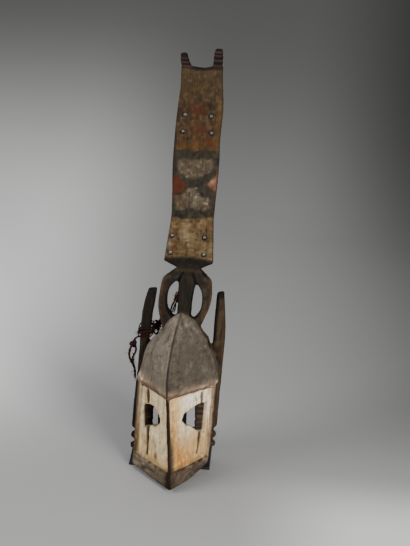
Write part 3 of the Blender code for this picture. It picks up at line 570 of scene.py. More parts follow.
# line, half-width at its upper and lower end, darkness
GROOVES = {-1: ((((0.224, 0.720), (0.205, 0.710), (0.188, 0.700)), 0.0062, 0.0058, 1.0), (((0.134, 0.686), (0.085, 0.688), (0.047, 0.690)), 0.0070, 0.0038, 1.0)),
           1: ((((0.222, 0.772), (0.205, 0.780), (0.190, 0.790)), 0.0040, 0.0036, 0.62), (((0.118, 0.780), (0.076, 0.762), (0.058, 0.750)), 0.0052, 0.0028, 0.85))}
groove = np.zeros(count)
for which, lines in GROOVES.items():
    for line, wide_up, wide_down, dark in lines:
        zs, shares = [z for z, s in line][::-1], [s for z, s in line][::-1]
        middle = np.interp(mz, zs, shares) + 0.006 * noise(np.stack([mz * 60, mz * 0, mz * 0], 1), 5)
        across = (share - middle) * run
        wide = np.interp(mz, (zs[0], zs[-1]), (wide_down, wide_up)) * (1 + 0.25 * noise(np.stack([mz * 110, mz * 0 + 3, mz * 0], 1), 6))
        groove = np.maximum(groove, dark * (side == which) * np.exp(-((across / wide) ** 4)) * band(zs[0], zs[-1], mz, 0.003) * panel)
shift -= 0.0032 * groove

# chin band: a lip along the lower edge with shallow lines beside it
chin_zone = (1 - step(0.036, 0.044, mz)) * outer_front * (1 - bar_zone)
off = mx - 0.0155
foot_share = np.clip(np.abs(off) / (FACE_HALF - 0.0155 * np.sign(off)), 0, 1)
foot_line = np.where(off > 0, 0.026 * foot_share**3.6, 0.005 * foot_share**3)
above_foot = mz - foot_line
chin_line = np.exp(-(((above_foot - 0.011 - 0.006 * foot_share) / 0.0016) ** 2)) * chin_zone
chin_line2 = np.exp(-(((above_foot - 0.021 - 0.004 * foot_share) / 0.0014) ** 2)) * chin_zone
shift -= 0.0005 * chin_line + 0.0003 * chin_line2

# loop: the arms' fronts fall away outward; creases run on above the windows
loop_z = (0.340, 0.367, 0.402, 0.430, 0.458, 0.484, 0.492, 0.521, 0.533)
loop_half = np.where(crest_u < 0, np.interp(mz, loop_z, (0.0390, 0.0475, 0.0588, 0.0622, 0.0606, 0.0580, 0.0555, 0.0275, 0.0270)), np.interp(mz, loop_z, (0.0285, 0.0365, 0.0492, 0.0582, 0.0600, 0.0580, 0.0555, 0.0275, 0.0270)))
front_loop = loop_zone * step(0.3, 0.7, -normal[:, 1])
outward = step(-0.0125, 0.001, np.abs(crest_u) - loop_half) * (1 - step(0.496, 0.510, mz))
fall = 0.0055 * outward * step(0.010, 0.016, np.abs(crest_u)) * loop_zone * (1 - step(0.115, 0.128, my))
crease = np.zeros(count)
for (u0, z0), (u1, z1) in (((-0.0195, 0.488), (-0.0090, 0.513)), ((0.0235, 0.484), (0.0125, 0.512))):
    t = np.clip((mz - z0) / (z1 - z0), 0, 1)
    crease = np.maximum(crease, np.exp(-(((crest_u - u0 - (u1 - u0) * t) / (0.0030 - 0.0014 * t)) ** 2)) * band(z0, z1, mz, 0.003) * front_loop)
shift -= 0.0050 * crease

# pits and small losses
rng = np.random.default_rng(5)
pit = np.zeros(count)
pit_list = [(-0.0600, 0.082, 0.3175, 0.0030), (-0.0565, 0.080, 0.3120, 0.0022), (0.0258, 0.072, 0.3364, 0.0026)]
for _ in range(16):
    z = rng.uniform(0.255, 0.395)
    s = rng.uniform(-0.9, 0.9)
    pick = np.argmin(np.abs(signed - s) + np.abs(mz - z) * 20 + (outer_front < 0.5) * 10)
    pit_list.append((mx[pick], my[pick], mz[pick], rng.uniform(0.0008, 0.0013)))
for px, py, pz, pr in pit_list:
    pit = np.maximum(pit, np.exp(-(((mx - px) ** 2 + (my - py) ** 2 * 0.3 + (mz - pz) ** 2) / pr**2)) * hood)
shift -= 0.0013 * pit

# prong stripes: shallow cuts round the two prongs
rise = mz - PLANK_TOP_Z
prong_zone = step(0.0035, 0.0065, rise)
stripe = np.zeros(count)
for which, levels in ((-1, (0.0015, 0.0100, 0.0185)), (1, (0.0060, 0.0170, 0.0275, 0.0350))):
    for level_z in levels:
        stripe = np.maximum(stripe, (np.sign(crest_u) == which) * np.exp(-(((rise - level_z) / 0.0016) ** 2)) * step(-0.002, 0.001, rise) * step(0.020, 0.024, np.where(crest_u < 0, -crest_u, crest_u + 0.004)))
shift -= 0.0007 * stripe

# worn, chipped arrises: where the surface turns hard outward, knock it back unevenly
mean = neighbours_mean(co)
sharp = ((co - mean) * normal).sum(1)                     # positive on outward edges
wear = np.clip(sharp / 0.00070, 0, 1)
for _ in range(2):
    wear = np.maximum(wear, neighbours_mean(wear)[:, 0] * 1.05)
wear = np.clip(wear, 0, 1) * (1 - inner) * (1 - 0.8 * bar_zone * step(0.440, 0.450, mz))
chips = np.clip(fbm(co * 75, 3, 61) - 0.05, 0, 1) * wear
shift -= 0.0022 * chips * (1 - prong_zone * 0.5)
co = co + normal * (shift * quiet)[:, None]
co[:, 1] += fall
co[:, 2] = np.maximum(co[:, 2], 0.0075)
mesh.vertices.foreach_set("co", co.astype(np.float32).ravel())
mesh.update()

# ------------------------------------------------------------------ old paint, with painted light and shade
base = np.zeros((count, 3))


def paint(colour, weight):
    global base
    w = np.clip(weight, 0, 1)[:, None]
    base = base * (1 - w) + np.array(colour, float)[None, :] * w


wide = fbm(co * 22, 4, 71)
middle_noise = fbm(co * 60, 4, 73)
fine_noise = fbm(co * 170, 3, 77)
streak = fbm(np.stack([signed * 30 + mx * 40, my * 10, mz * 9], 1), 4, 79)
wob = 0.0022 * fbm(co * 90, 3, 83)

def grainy(across, along_z, seed):
    """Long grain running up the wood."""
    return fbm(np.stack([crest_u * across + my * across * 0.3, my * 20, mz * along_z], 1), 4, seed)


grain_a, grain_b, grain_c = grainy(90, 14, 95), grainy(220, 24, 96), grainy(45, 30, 97)
mottle = fbm(co * 110, 3, 98)

# wood of the helmet's sides and back
paint((92, 76, 58), np.ones(count))
paint((62, 49, 37), step(-0.1, 0.5, wide))
paint((122, 104, 82), step(0.15, 0.6, middle_noise) * 0.6)
paint((70, 55, 41), step(0.1, 0.5, grain_b) * 0.5)
# hood
along_hood = fbm(np.stack([signed * 7 + mz * 6, my * 10, mz * 16], 1), 4, 111)
fine_hood = fbm(np.stack([signed * 60, my * 20, mz * 70], 1), 3, 112)
paint((96, 86, 72), hood)
# painted light: the hood's left facet is painted lighter than its right one, as if lit from the left
paint((122, 110, 94), hood * (side < 0) * 0.9)
paint((124, 114, 98), hood * step(0.0, 0.5, along_hood) * 0.5)
paint((76, 64, 51), hood * step(0.05, 0.5, -along_hood) * 0.4)
paint((140, 132, 118), hood * step(0.15, 0.6, mottle) * 0.45)
paint((66, 56, 46), hood * step(0.2, 0.6, -mottle + 0.3 * fine_hood) * 0.45)
# painted highlight: a paler cap on the top of the hood, where it faces up to the light
paint((146, 138, 124), hood * step(0.372, 0.400, mz) * step(0.0, 0.45, mottle) * 0.6)
# painted shade: the far edge of the hood behind the right shoulder is painted near black
shoulder_shade = hood * (side > 0) * step(0.93, 1.0, share) * band(0.330, 0.365, mz, 0.006)
paint((30, 24, 19), shoulder_shade * 0.9)
paint((58, 46, 36), hood * (side > 0) * band(0.02, 0.30, share, 0.1) * step(0.0, 0.4, -mottle) * (mz < 0.30) * 0.4)
brow_rise = mz - brow_edge + wob * 2 + 0.005 * along_hood
brow_band = hood * (1 - step(0.004, np.where(side < 0, 0.034, 0.027), brow_rise))
paint((142, 120, 100), brow_band * 0.9)
paint((204, 184, 160), brow_band * step(-0.15, 0.35, middle_noise + 0.3 * fine_noise) * np.where(side < 0, 0.08 + 0.92 * step(0.45, 0.80, share), 0.12 + 0.88 * step(0.50, 0.88, share)))
paint((98, 76, 64), brow_band * step(0.0, 0.45, -middle_noise + 0.3 * mottle) * 0.7)
paint((126, 84, 70), brow_band * step(0.05, 0.5, mottle) * 0.40)
paint((84, 62, 50), brow_band * (1 - step(0.003, 0.008, brow_rise)) * 0.45)
ridge_mm = signed * run
ridge_line = np.exp(-(((ridge_mm - 0.0010) / 0.0030) ** 2)) * outer_front * (1 - below_brow)
paint((34, 26, 20), ridge_line * 0.95 * (1 - 0.6 * step(0.380, 0.40, mz)))
# painted highlight: a light line just left of the hood's ridge
paint((146, 132, 112), np.exp(-(((ridge_mm + 0.0048) / 0.0020) ** 2)) * hood * (mz > 0.252) * 0.5)
paint((40, 30, 23), np.clip(pit * 1.3, 0, 1))
# chin band
chin_top = 0.038 + 0.008 * middle_noise + 0.005 * fine_noise
chin_paint = outer_front * (1 - bar_zone) * (1 - step(chin_top - 0.005, chin_top + 0.005, mz))
band_grain = fbm(np.stack([signed * 7, mz * 0, above_foot * 90], 1), 4, 87)
paint((118, 104, 86), chin_paint)
paint((168, 154, 130), chin_paint * step(0.0, 0.5, band_grain + 0.9 * mottle) * np.where(side < 0, 0.35 + 0.50 * step(0.3, 0.7, share), 0.30 + 0.45 * step(0.4, 0.8, share)))
paint((66, 54, 41), chin_paint * step(0.0, 0.5, -band_grain + 0.8 * mottle) * 0.65)
paint((182, 168, 142), chin_paint * step(0.0, 0.010, mz - chin_top + 0.018) * step(-0.35, 0.35, mottle + 0.5 * fine_noise) * np.where(side < 0, 0.55, 0.40) * step(0.10, 0.30, share))
paint((88, 54, 34), chin_paint * step(0.1, 0.5, middle_noise + 0.3 * mottle) * (1 - step(0.35, 0.6, share)) * 0.75)
paint((104, 86, 78), chin_paint * (side > 0) * step(-0.2, 0.4, wide) * 0.45)
paint((42, 32, 24), chin_paint * (1 - step(0.05, 0.26, share)) * step(-0.35, 0.35, mottle + 0.4 * fine_noise) * 0.7)
paint((58, 46, 36), chin_zone * (1 - step(0.001, 0.006, above_foot)) * 0.5)
# face borders beside the panels
border = outer_front * below_brow * step(panel_out - 0.012, panel_out + 0.002, share) * step(0.034, 0.042, mz) * (share < 1.05)
at_corner = step(0.0, 1.0, (share - panel_out) / (1.0 - panel_out + 0.02) + 0.25 * middle_noise)
paint((204, 182, 152), border * (side < 0))
# painted shade: the left border darkens toward its rounded corner, and its outermost strip and its lower part are
# painted dark brown
paint((146, 120, 96), border * (side < 0) * at_corner * 0.85)
paint((70, 54, 42), border * (side < 0) * step(0.925, 0.965, share + 0.012 * mottle) * 0.9)
paint((112, 92, 70), outer_front * below_brow * (side < 0) * step(0.86, 0.93, share) * step(0.034, 0.042, mz) * (1 - step(0.070, 0.130, mz + 0.02 * wide)) * 0.75)
paint((168, 146, 120), border * (side > 0))
paint((104, 84, 66), border * (side > 0) * step(-0.1, 0.4, streak + 0.5 * mottle) * 0.7)
step_wall = outer_front * below_brow * (1 - step(0.3, 0.75, face_side)) * band(0.84, 1.0, share, 0.01) * step(0.040, 0.046, mz) * (1 - bar_zone)
paint((202, 180, 148), step_wall * (side < 0))
paint((176, 152, 122), step_wall * (side > 0))
# kaolin on the panels, laid over most of the nose rib's sides
whitened = np.maximum(panel, outer_front * below_brow * step(0.026, 0.040, share) * (1 - step(0.056, 0.066, share)) * step(0.036, 0.044, mz))
left_p, right_p = whitened * (side < 0), whitened * (side > 0)
paint((216, 200, 166), left_p)
paint((236, 220, 198), right_p)
paint((214, 178, 128), right_p * (1 - step(0.085, 0.165, mz + 0.03 * wide)))
paint((206, 172, 122), right_p * (1 - step(0.20, 0.42, share + 0.06 * wide)) * 0.75)
paint((186, 124, 68), right_p * np.clip(1.1 * spot_at(share, mz, 0.40, 0.052, 0.22, 0.022) + 0.75 * spot_at(share, mz, 0.26, 0.085, 0.12, 0.024) + 0.7 * spot_at(share, mz, 0.14, 0.130, 0.10, 0.034), 0, 1) * step(-0.75, 0.10, mottle + 0.4 * wide) * 0.95)
paint((196, 168, 122), left_p * (1 - step(0.050, 0.090, mz + 0.014 * wide)) * 0.6)
paint((222, 190, 160), left_p * spot_at(share, mz, 0.16, 0.060, 0.10, 0.030) * 0.6)
paint((190, 164, 126), whitened * step(0.05, 0.45, streak + 0.6 * mottle) * 0.5)
paint((172, 144, 106), right_p * step(0.0, 0.45, wide + 0.5 * middle_noise) * 0.45)
paint((198, 160, 124), right_p * spot_at(share, mz, 0.86, 0.075, 0.12, 0.034) * step(-0.4, 0.2, mottle) * 0.7)
paint((252, 244, 230), right_p * spot_at(share, mz, 0.62, 0.214, 0.26, 0.016) * 0.7)
paint((150, 118, 82), right_p * spot_at(share, mz, 0.13, 0.190, 0.10, 0.026) * step(-0.3, 0.3, mottle) * 0.6)
paint((158, 122, 84), right_p * (1 - step(0.044, 0.054, mz + 0.006 * middle_noise)) * 0.55)
paint((150, 124, 92), left_p * (1 - step(0.044, 0.056, mz + 0.006 * middle_noise)) * 0.55)
paint((138, 112, 78), whitened * step(0.28, 0.60, streak + 0.4 * fine_noise) * 0.55)
paint((246, 238, 222), whitened * step(0.15, 0.6, -streak + 0.5 * mottle) * 0.45)
panel_grain = fbm(np.stack([signed * 110, mz * 0, mz * 22], 1), 3, 113)
paint((126, 100, 70), whitened * step(0.32, 0.64, panel_grain) * np.where(side < 0, 0.7, 0.4))
paint((158, 132, 98), left_p * band(0.70, 0.90, share, 0.05) * step(-0.2, 0.4, middle_noise) * 0.5)
paint((122, 92, 62), whitened * step(0.38, 0.60, middle_noise + 0.2 * panel_grain) * 0.6)
paint((90, 64, 42), left_p * np.clip(spot_at(share, mz, 0.44, 0.062, 0.04, 0.010) + 0.7 * spot_at(share, mz, 0.46, 0.088, 0.02, 0.010) + 0.6 * spot_at(share, mz, 0.5, 0.100, 0.02, 0.008), 0, 1) * 0.85)
# painted shadow: the panels are painted darker just under the brow's overhang
paint((150, 118, 80), whitened * (1 - step(0.002, 0.010, brow_edge - mz)) * 0.6)
# nose rib: a black line left of its crest as painted shadow, brown right of it
rib = outer_front * below_brow * (1 - step(0.012, 0.018, depth)) * step(0.034, 0.044, mz)
thicker = np.interp(mz, (0.04, 0.12, 0.23), (1.35, 1.22, 1.20))
low_nose = 1 - step(0.090, 0.150, mz + 0.01 * wide)
rim_left = outer_front * below_brow * (side < 0) * step(0.036, 0.042, mz) * (1 - jamb) * (1 - bar_zone)
rim_low = 1 - step(0.090, 0.165, mz + 0.02 * wide)
# painted shade: the left rim next to the corner is painted darker, most of all low down
paint((138, 112, 84), rim_left * step(0.885, 0.930, share + 0.016 * mottle) * (0.50 + 0.42 * rim_low))
paint((86, 66, 48), rim_left * step(0.950, 0.985, share + 0.014 * mottle) * (0.45 + 0.40 * rim_low))
paint((112, 88, 68), rib * np.exp(-(((ridge_mm - 0.0092) / (0.0042 * thicker)) ** 4)) * 0.80)
paint((96, 76, 56), outer_front * below_brow * np.exp(-(((ridge_mm - 0.0090) / 0.0125) ** 4)) * low_nose * step(-0.6, 0.0, mottle) * 0.90)
paint((140, 112, 88), outer_front * below_brow * np.exp(-(((ridge_mm + 0.0100) / 0.0040) ** 4)) * low_nose * step(-0.3, 0.3, mottle) * 0.5)
paint((150, 120, 88), rib * np.exp(-(((ridge_mm + 0.0090) / 0.0020) ** 2)) * step(-0.2, 0.3, middle_noise) * 0.5)
# painted shadow: the black line along the left side of the nose rib
paint((34, 25, 18), outer_front * below_brow * np.exp(-(((ridge_mm + 0.0014 + 0.0040 * low_nose) / (0.0074 * thicker)) ** 4)) * 0.96)
paint((74, 56, 40), np.clip(groove * 1.25, 0, 1) * 0.92)
lip = panel * (1 - step(0.001, 0.005, eye_gap))
paint((104, 88, 70), lip * 0.40)
# eye jambs and inside
cuts = fbm(np.stack([mx * 22, my * 22, mz * 330], 1), 3, 91)
paint((74, 58, 44), jamb)
paint((118, 98, 76), jamb * step(0.05, 0.45, cuts) * 0.75)
paint((40, 31, 24), jamb * step(0.05, 0.45, -cuts) * 0.75)
# the eyes' sills: white paint on their upward faces, made lighter still as painted light
sill = jamb * step(0.35, 0.75, normal[:, 2])
paint((196, 186, 170), sill * 0.9)
paint((52, 38, 27), inner)
paint((78, 58, 41), inner * step(0.1, 0.5, middle_noise) * 0.6)
# side bars: the left one painted dark as painted shade, the right one lighter as painted light
bar_left, bar_right = bar_zone * (mx < 0), bar_zone * (mx > 0)
paint((38, 31, 25), bar_left)
# painted light: a lit brown strip along the left bar's outer edge
paint((96, 74, 55), bar_left * step(0.0885, 0.0945, -mx) * (mz > 0.14) * step(-0.35, 0.3, grain_b) * 0.8)
paint((62, 50, 40), bar_left * step(0.0, 0.4, grain_b) * 0.6)
paint((88, 72, 56), bar_right)
paint((118, 98, 76), bar_right * step(0.0, 0.45, grain_b + 0.3 * middle_noise) * 0.7)
paint((52, 40, 31), bar_right * step(0.1, 0.5, -grain_b) * 0.6)
# painted shade: the right bar's inner strip and its inward-facing side
paint((34, 27, 21), bar_right * (1 - step(0.0800, 0.0850, mx)) * 0.92)
paint((34, 27, 21), bar_right * step(0.1, 0.4, -normal[:, 0]) * 0.9)
paint((28, 22, 18), bar_zone * step(0.444, 0.455, mz) * 0.8)
paint((86, 72, 58), bar_zone * (mz < 0.118) * step(-0.2, 0.4, mottle) * 0.8)
paint((46, 36, 28), bar_zone * (mz < 0.118) * step(0.1, 0.5, -mottle) * 0.8)
# loop and its post, with painted light on the arms' outer parts and painted shade on their inner parts, sides and
# creases
post_part = loop_zone * (1 - step(0.0190, 0.0230, np.abs(crest_u)))
paint((48, 41, 34), loop_zone)
paint((84, 72, 56), front_loop * (side > 0) * (1 - step(0.47, 0.50, mz)) * step(-0.4, 0.2, mottle + 0.4 * grain_b) * 0.8)
# painted light: lit brown strips on the outer parts of the arms' fronts
paint((84, 66, 52), front_loop * (side < 0) * band(0.375, 0.485, mz, 0.012) * step(-0.4, 0.2, mottle + 0.3 * grain_b) * step(0.030, 0.040, np.abs(crest_u)) * 0.85)
paint((96, 84, 70), front_loop * (side > 0) * band(0.375, 0.485, mz, 0.012) * step(0.036, 0.046, np.abs(crest_u)) * step(-0.3, 0.2, mottle) * 0.7)
paint((86, 76, 63), post_part * step(0.4, 0.8, -normal[:, 1]) * 0.9)
paint((108, 96, 80), post_part * step(0.1, 0.5, grain_b) * 0.7)
paint((58, 49, 39), post_part * step(0.1, 0.5, -grain_b) * 0.6)
# painted light: the arms' outer bevels painted lit brown
paint((106, 82, 60), loop_zone * outward * step(0.016, 0.024, np.abs(crest_u)) * (0.55 + 0.45 * step(-0.2, 0.3, mottle)) * 0.9)
paint((70, 56, 43), loop_zone * outward * step(0.1, 0.5, grain_b) * 0.6)
# painted shade: the arms' inner parts and sides painted near black
paint((26, 21, 17), loop_zone * (1 - post_part) * (1 - outward) * np.where(side < 0, 0.5, 0.25))
paint((26, 21, 17), loop_zone * step(0.35, 0.8, np.abs(normal[:, 0])) * (1 - outward) * 0.9)
paint((70, 62, 52), loop_zone * (mz > 0.495) * step(-0.1, 0.4, mottle) * 0.55)
# painted shade: the creases above the windows painted near black
paint((14, 11, 9), np.clip(crease * 1.3, 0, 1))

# plank: plain brown above, then a framed hourglass between two triangles, then plain brown
rub = 0.0042 * fbm(co * 55, 4, 121)                        # the paint's edges are rubbed away
u, v = crest_u + wob + rub, mz + wob * 1.4 + rub
tilt = v - 0.045 * crest_u
paint((84, 65, 45), plank_zone)
paint((62, 47, 33), plank_zone * step(-0.05, 0.4, wide + 0.3 * grain_a) * 0.75)
paint((112, 90, 62), plank_zone * step(0.05, 0.5, grain_a) * 0.6)
paint((54, 41, 29), plank_zone * step(0.15, 0.5, grain_b) * 0.6)
paint((118, 98, 70), plank_zone * step(0.2, 0.5, mottle) * 0.4)
upper = plank_zone * step(0.800, 0.806, tilt)
paint((92, 78, 56), upper * step(0.885, 0.985, v + 0.02 * wide) * 0.6)
paint((60, 47, 34), upper * step(0.0, 0.4, mottle + 0.4 * grain_b) * 0.5)
paint((120, 104, 78), upper * step(0.1, 0.45, fine_noise + 0.4 * grain_b) * 0.45)
paint((104, 54, 36), upper * (0.9 * spot_at(u, v, -0.006, 0.893, 0.016, 0.012) + 0.7 * spot_at(u, v, 0.002, 0.850, 0.018, 0.012) + 0.9 * spot_at(u, v, 0.026, 0.822, 0.008, 0.010)) * 0.85)
paint((128, 86, 46), upper * (1 - step(0.812, 0.850, tilt)) * step(-0.4, 0.3, mottle) * 0.6)
paint((118, 92, 60), upper * step(0.030, 0.042, crest_u) * (1 - step(0.92, 0.95, v)) * 0.5)
paint((46, 35, 26), upper * spot_at(u, v, 0.020, 0.905, 0.007, 0.006) * 0.9)
paint((30, 21, 15), upper * spot_at(crest_u, mz, 0.0365, 0.9400, 0.0024, 0.0024))
frame_zone = plank_zone * band(0.6455, 0.801, tilt, 0.0030)
paint((64, 59, 48), frame_zone * 0.92)
paint((94, 82, 62), frame_zone * step(0.0, 0.45, mottle + 0.5 * grain_a) * 0.7)
paint((34, 31, 28), frame_zone * step(0.1, 0.5, -mottle + 0.3 * grain_a) * 0.7)
field = frame_zone * band(0.667, 0.783, tilt + 0.003 * mottle, 0.0042) * (1 - step(0.0340, 0.0435, np.abs(u + 0.001) + 0.003 * mottle))
slope = np.abs(tilt - 0.7235)
hourglass = field * step(-0.0075, 0.0075, slope - 0.009 - np.abs(u + 0.004) * 0.60 + 0.004 * mottle) * np.where(tilt > 0.7235, 1.0, 0.85)
paint((110, 94, 74), hourglass)
paint((140, 124, 100), hourglass * step(-0.05, 0.4, mottle + 0.5 * fine_noise) * np.where(tilt > 0.7235, 0.45, 0.8))
paint((176, 162, 138), hourglass * step(0.25, 0.55, fine_noise + 0.5 * mottle) * np.where(tilt > 0.7235, 0.45, 0.75))
paint((82, 70, 55), hourglass * step(0.05, 0.45, -middle_noise + 0.3 * grain_a) * 0.7)
paint((176, 162, 140), hourglass * spot_at(u, v, 0.006, 0.690, 0.012, 0.016) * 0.6)
paint((104, 84, 60), hourglass * (tilt < 0.72) * step(0.004, 0.022, -u) * 0.8)
paint((178, 162, 138), hourglass * (tilt < 0.72) * spot_at(u, v, 0.012, 0.700, 0.016, 0.022) * step(-0.3, 0.3, mottle) * 0.6)
for su, sv, sr in ((0.0062, 0.6945, 0.0020), (-0.0190, 0.7400, 0.0016), (0.0050, 0.7150, 0.0016), (0.0160, 0.7600, 0.0012), (0.030, 0.7555, 0.0012), (-0.008, 0.7520, 0.0012), (0.012, 0.7030, 0.0014)):
    paint((226, 218, 204), plank_zone * spot_at(crest_u, mz, su, sv, sr, sr) * 0.9)
red_left = frame_zone * step(-0.004, 0.004, -0.0150 - u - np.abs(tilt - 0.7195) ** 1.25 * 3.6)
paint((118, 56, 28), red_left)
paint((136, 70, 36), red_left * step(0.0, 0.5, middle_noise + 0.3 * mottle) * 0.6)
paint((100, 60, 38), red_left * step(0.0, 0.4, mottle) * 0.45)
paint((84, 38, 20), red_left * step(0.0, 0.45, -middle_noise + 0.4 * grain_b) * 0.7)
red_right = frame_zone * step(-0.003, 0.003, u - 0.0305 - np.abs(tilt - 0.7275) * 0.86)
paint((176, 116, 84), red_right)
# painted highlight: a small pale spot on the right triangle
paint((224, 186, 158), red_right * spot_at(u, v, 0.040, 0.735, 0.0060, 0.0050) * 0.95)
paint((120, 62, 40), red_right * step(0.1, 0.5, -mottle) * 0.6)
paint((70, 52, 40), red_right * step(0.15, 0.5, middle_noise) * 0.6)
paint((84, 64, 50), frame_zone * step(0.0395, 0.0445, u) * (1 - step(0.704, 0.712, v)) * step(-0.4, 0.2, mottle) * 0.7)
lower = plank_zone * (1 - step(0.6405, 0.6465, tilt))
paint((122, 101, 73), lower)
paint((160, 140, 106), lower * step(-0.1, 0.4, grain_c + 0.3 * mottle) * 0.7)
paint((172, 152, 122), lower * spot_at(u, v, -0.012, 0.612, 0.007, 0.030) * 0.65)
paint((88, 68, 44), lower * step(0.0, 0.45, -grain_c + 0.4 * mottle) * 0.65)
paint((118, 92, 58), lower * spot_at(u, v, -0.032, 0.630, 0.014, 0.014) * 0.6)
cross_marks = fbm(np.stack([crest_u * 60, my * 10, mz * 260], 1), 3, 131)
paint((84, 66, 46), lower * step(0.05, 0.4, cross_marks + 0.4 * mottle) * 0.45)
paint((168, 152, 124), lower * step(0.1, 0.5, fine_noise - 0.3 * cross_marks) * 0.4)
paint((138, 92, 70), lower * spot_at(u, v, 0.042, 0.628, 0.008, 0.014) * step(-0.4, 0.2, mottle) * 0.6)
paint((120, 68, 46), lower * (spot_at(u, v, -0.033, 0.572, 0.007, 0.012) + 0.8 * spot_at(u, v, -0.048, 0.606, 0.004, 0.010)) * 0.75)
paint((168, 158, 142), lower * spot_at(u, v, -0.044, 0.578, 0.006, 0.010) * 0.55)
paint((66, 52, 37), lower * step(0.35, 0.55, mottle + 0.3 * grain_b) * 0.7)
neck_dark = plank_zone * (1 - step(0.545, 0.556, v + 0.13 * np.abs(crest_u)))
paint((44, 39, 32), neck_dark * 0.95)
paint((78, 70, 58), neck_dark * step(0.05, 0.4, mottle) * 0.5)
char = np.zeros(count)
for z, left, right_u in ((0.880, -0.0326, 0.0250), (0.8425, -0.0346, 0.0287), (0.598, -0.0413, 0.0325), (0.5570, -0.0425, 0.0345)):
    for x in (left, right_u):
        around = np.hypot(crest_u - x + 0.0006, mz - z - 0.0006)
        char = np.maximum(char, 1 - step(0.0052, 0.0064, around + wob * 0.4))
paint((24, 18, 14), char * plank_zone * 0.95)
# painted light: the lower walls of the holes painted near white and kept bright
lit_bore_wall = np.zeros(count)
for z, left, right_u in ((0.880, -0.0326, 0.0250), (0.8425, -0.0346, 0.0287), (0.598, -0.0413, 0.0325), (0.5570, -0.0425, 0.0345)):
    for x in (left, right_u):
        lit_bore_wall = np.maximum(lit_bore_wall, (np.hypot(crest_u - x, mz - z) < 0.0052) * (mz < z) * (np.abs(normal[:, 1]) < 0.75) * step(-0.0035, -0.0010, my - CREST_Y))
paint((226, 218, 204), lit_bore_wall * plank_zone * 0.9)
edge_dark = plank_zone * step(0.35, 0.8, np.abs(normal[:, 0]))
paint((78, 62, 46), edge_dark * 0.6)
paint((40, 33, 27), plank_zone * (1 - step(-0.0500, -0.0440, crest_u)) * band(0.640, 0.850, v, 0.012) * step(-0.5, 0.1, mottle) * 0.7)
behind = plank_zone * step(0.4, 0.8, normal[:, 1])
paint((98, 80, 58), behind * 0.85)
paint((66, 51, 37), behind * step(0.0, 0.45, grain_b) * 0.6)
paint((128, 108, 82), behind * step(0.1, 0.5, grain_a) * 0.5)
top_dark = plank_zone * np.maximum(prong_zone, step(0.35, 0.7, normal[:, 2]) * (mz > 0.975))
paint((26, 17, 15), top_dark)
paint((38, 28, 22), plank_zone * step(-0.0045, -0.0015, rise + 0.5 * wob + 0.0036 * np.clip(np.sin(math.pi * np.clip((crest_u + 0.03) / 0.049, 0, 1)), 0, 1)) * 0.9)
paint((104, 72, 66), stripe * 0.85)
# rubbed edges, and painted shade in the hollows
paint((132, 112, 88), wear * (hood + chin_paint + plank_zone * 0.35) * step(-0.1, 0.4, middle_noise) * 0.45)
hollow_shade = np.clip(-sharp / 0.00060, 0, 1) * (1 - 0.6 * chin_zone) * (1 - 0.9 * np.clip(panel + step_wall + border, 0, 1) * (share > 0.8))
base *= (1 - 0.35 * hollow_shade)[:, None]
base *= (1 + 0.12 * fine_noise + 0.08 * middle_noise)[:, None]
base = np.clip(base, 4, 250) / 255.0
linear_paint = np.where(base <= 0.04045, base / 12.92, ((base + 0.055) / 1.055) ** 2.4)
# brightness per zone; some of it is painted light and shade: the hood's left facet brighter than its right, the left
# bar darker than the right one, the strip between the left bar and the hood darkest, and the holes' lower walls at
# full brightness
gain = np.full(count, 0.50)
for zone, value in ((hood * (side < 0), 0.70), (hood * (side > 0), 0.60), (brow_band, 0.90), (brow_band * step(0.66, 0.90, share), 1.26), (chin_paint, 0.52), (left_p, 0.88), (border, 0.68), (step_wall, 0.95), (right_p, 0.98), (right_p * (1 - step(0.08, 0.18, mz)), 0.86), (jamb, 0.55), (inner, 0.6),
                    (rib * (1 - step(0.030, 0.055, share)), 0.6), (rim_left * rim_low * step(0.92, 0.96, share), 0.62), (low_nose * outer_front * below_brow * (np.abs(ridge_mm - 0.0105) < 0.0130), 0.52), (bar_left * (mz > 0.33), 0.40), (bar_left * (mz <= 0.33), 0.16), (bar_right, 0.38), (loop_zone, 0.54), (post_part, 0.13), (plank_zone, 0.40), (lit_bore_wall, 1.0), (neck_dark, 0.22), (top_dark * (1 - stripe), 0.16), (top_dark * stripe, 0.34), (red_left, 0.31), (red_right, 0.31), ((mx < -0.074) * (my > 0.112) * band(0.225, 0.350, mz, 0.008), 0.20), (np.clip(groove * 1.3, 0, 1), 0.62)):
    w = np.clip(zone, 0, 1)
    gain = gain * (1 - w) + value * w
linear_paint *= gain[:, None]
grey = linear_paint @ np.array([0.25, 0.6, 0.15])
vivid = np.full(count, 1.15)
for zone, value in ((hood, 0.86), (brow_band, 1.0), (chin_paint, 1.0), (border, 1.0), (step_wall, 1.0), (whitened, 1.24), (right_p * (1 - step(0.10, 0.20, mz)), 1.10), (low_nose * outer_front * below_brow * (np.abs(ridge_mm - 0.0110) < 0.0125), 0.92), (jamb, 0.88), (rib * (1 - step(0.03, 0.06, share)), 0.92), (plank_zone, 1.12), (red_left, 1.15), (red_right, 0.86), (np.clip(groove * 1.5, 0, 1), 0.9), (frame_zone, 0.95)):
    w = np.clip(zone, 0, 1)
    vivid = vivid * (1 - w) + value * w
linear_paint = np.clip(grey[:, None] + (linear_paint - grey[:, None]) * vivid[:, None], 0.0012, 0.92)

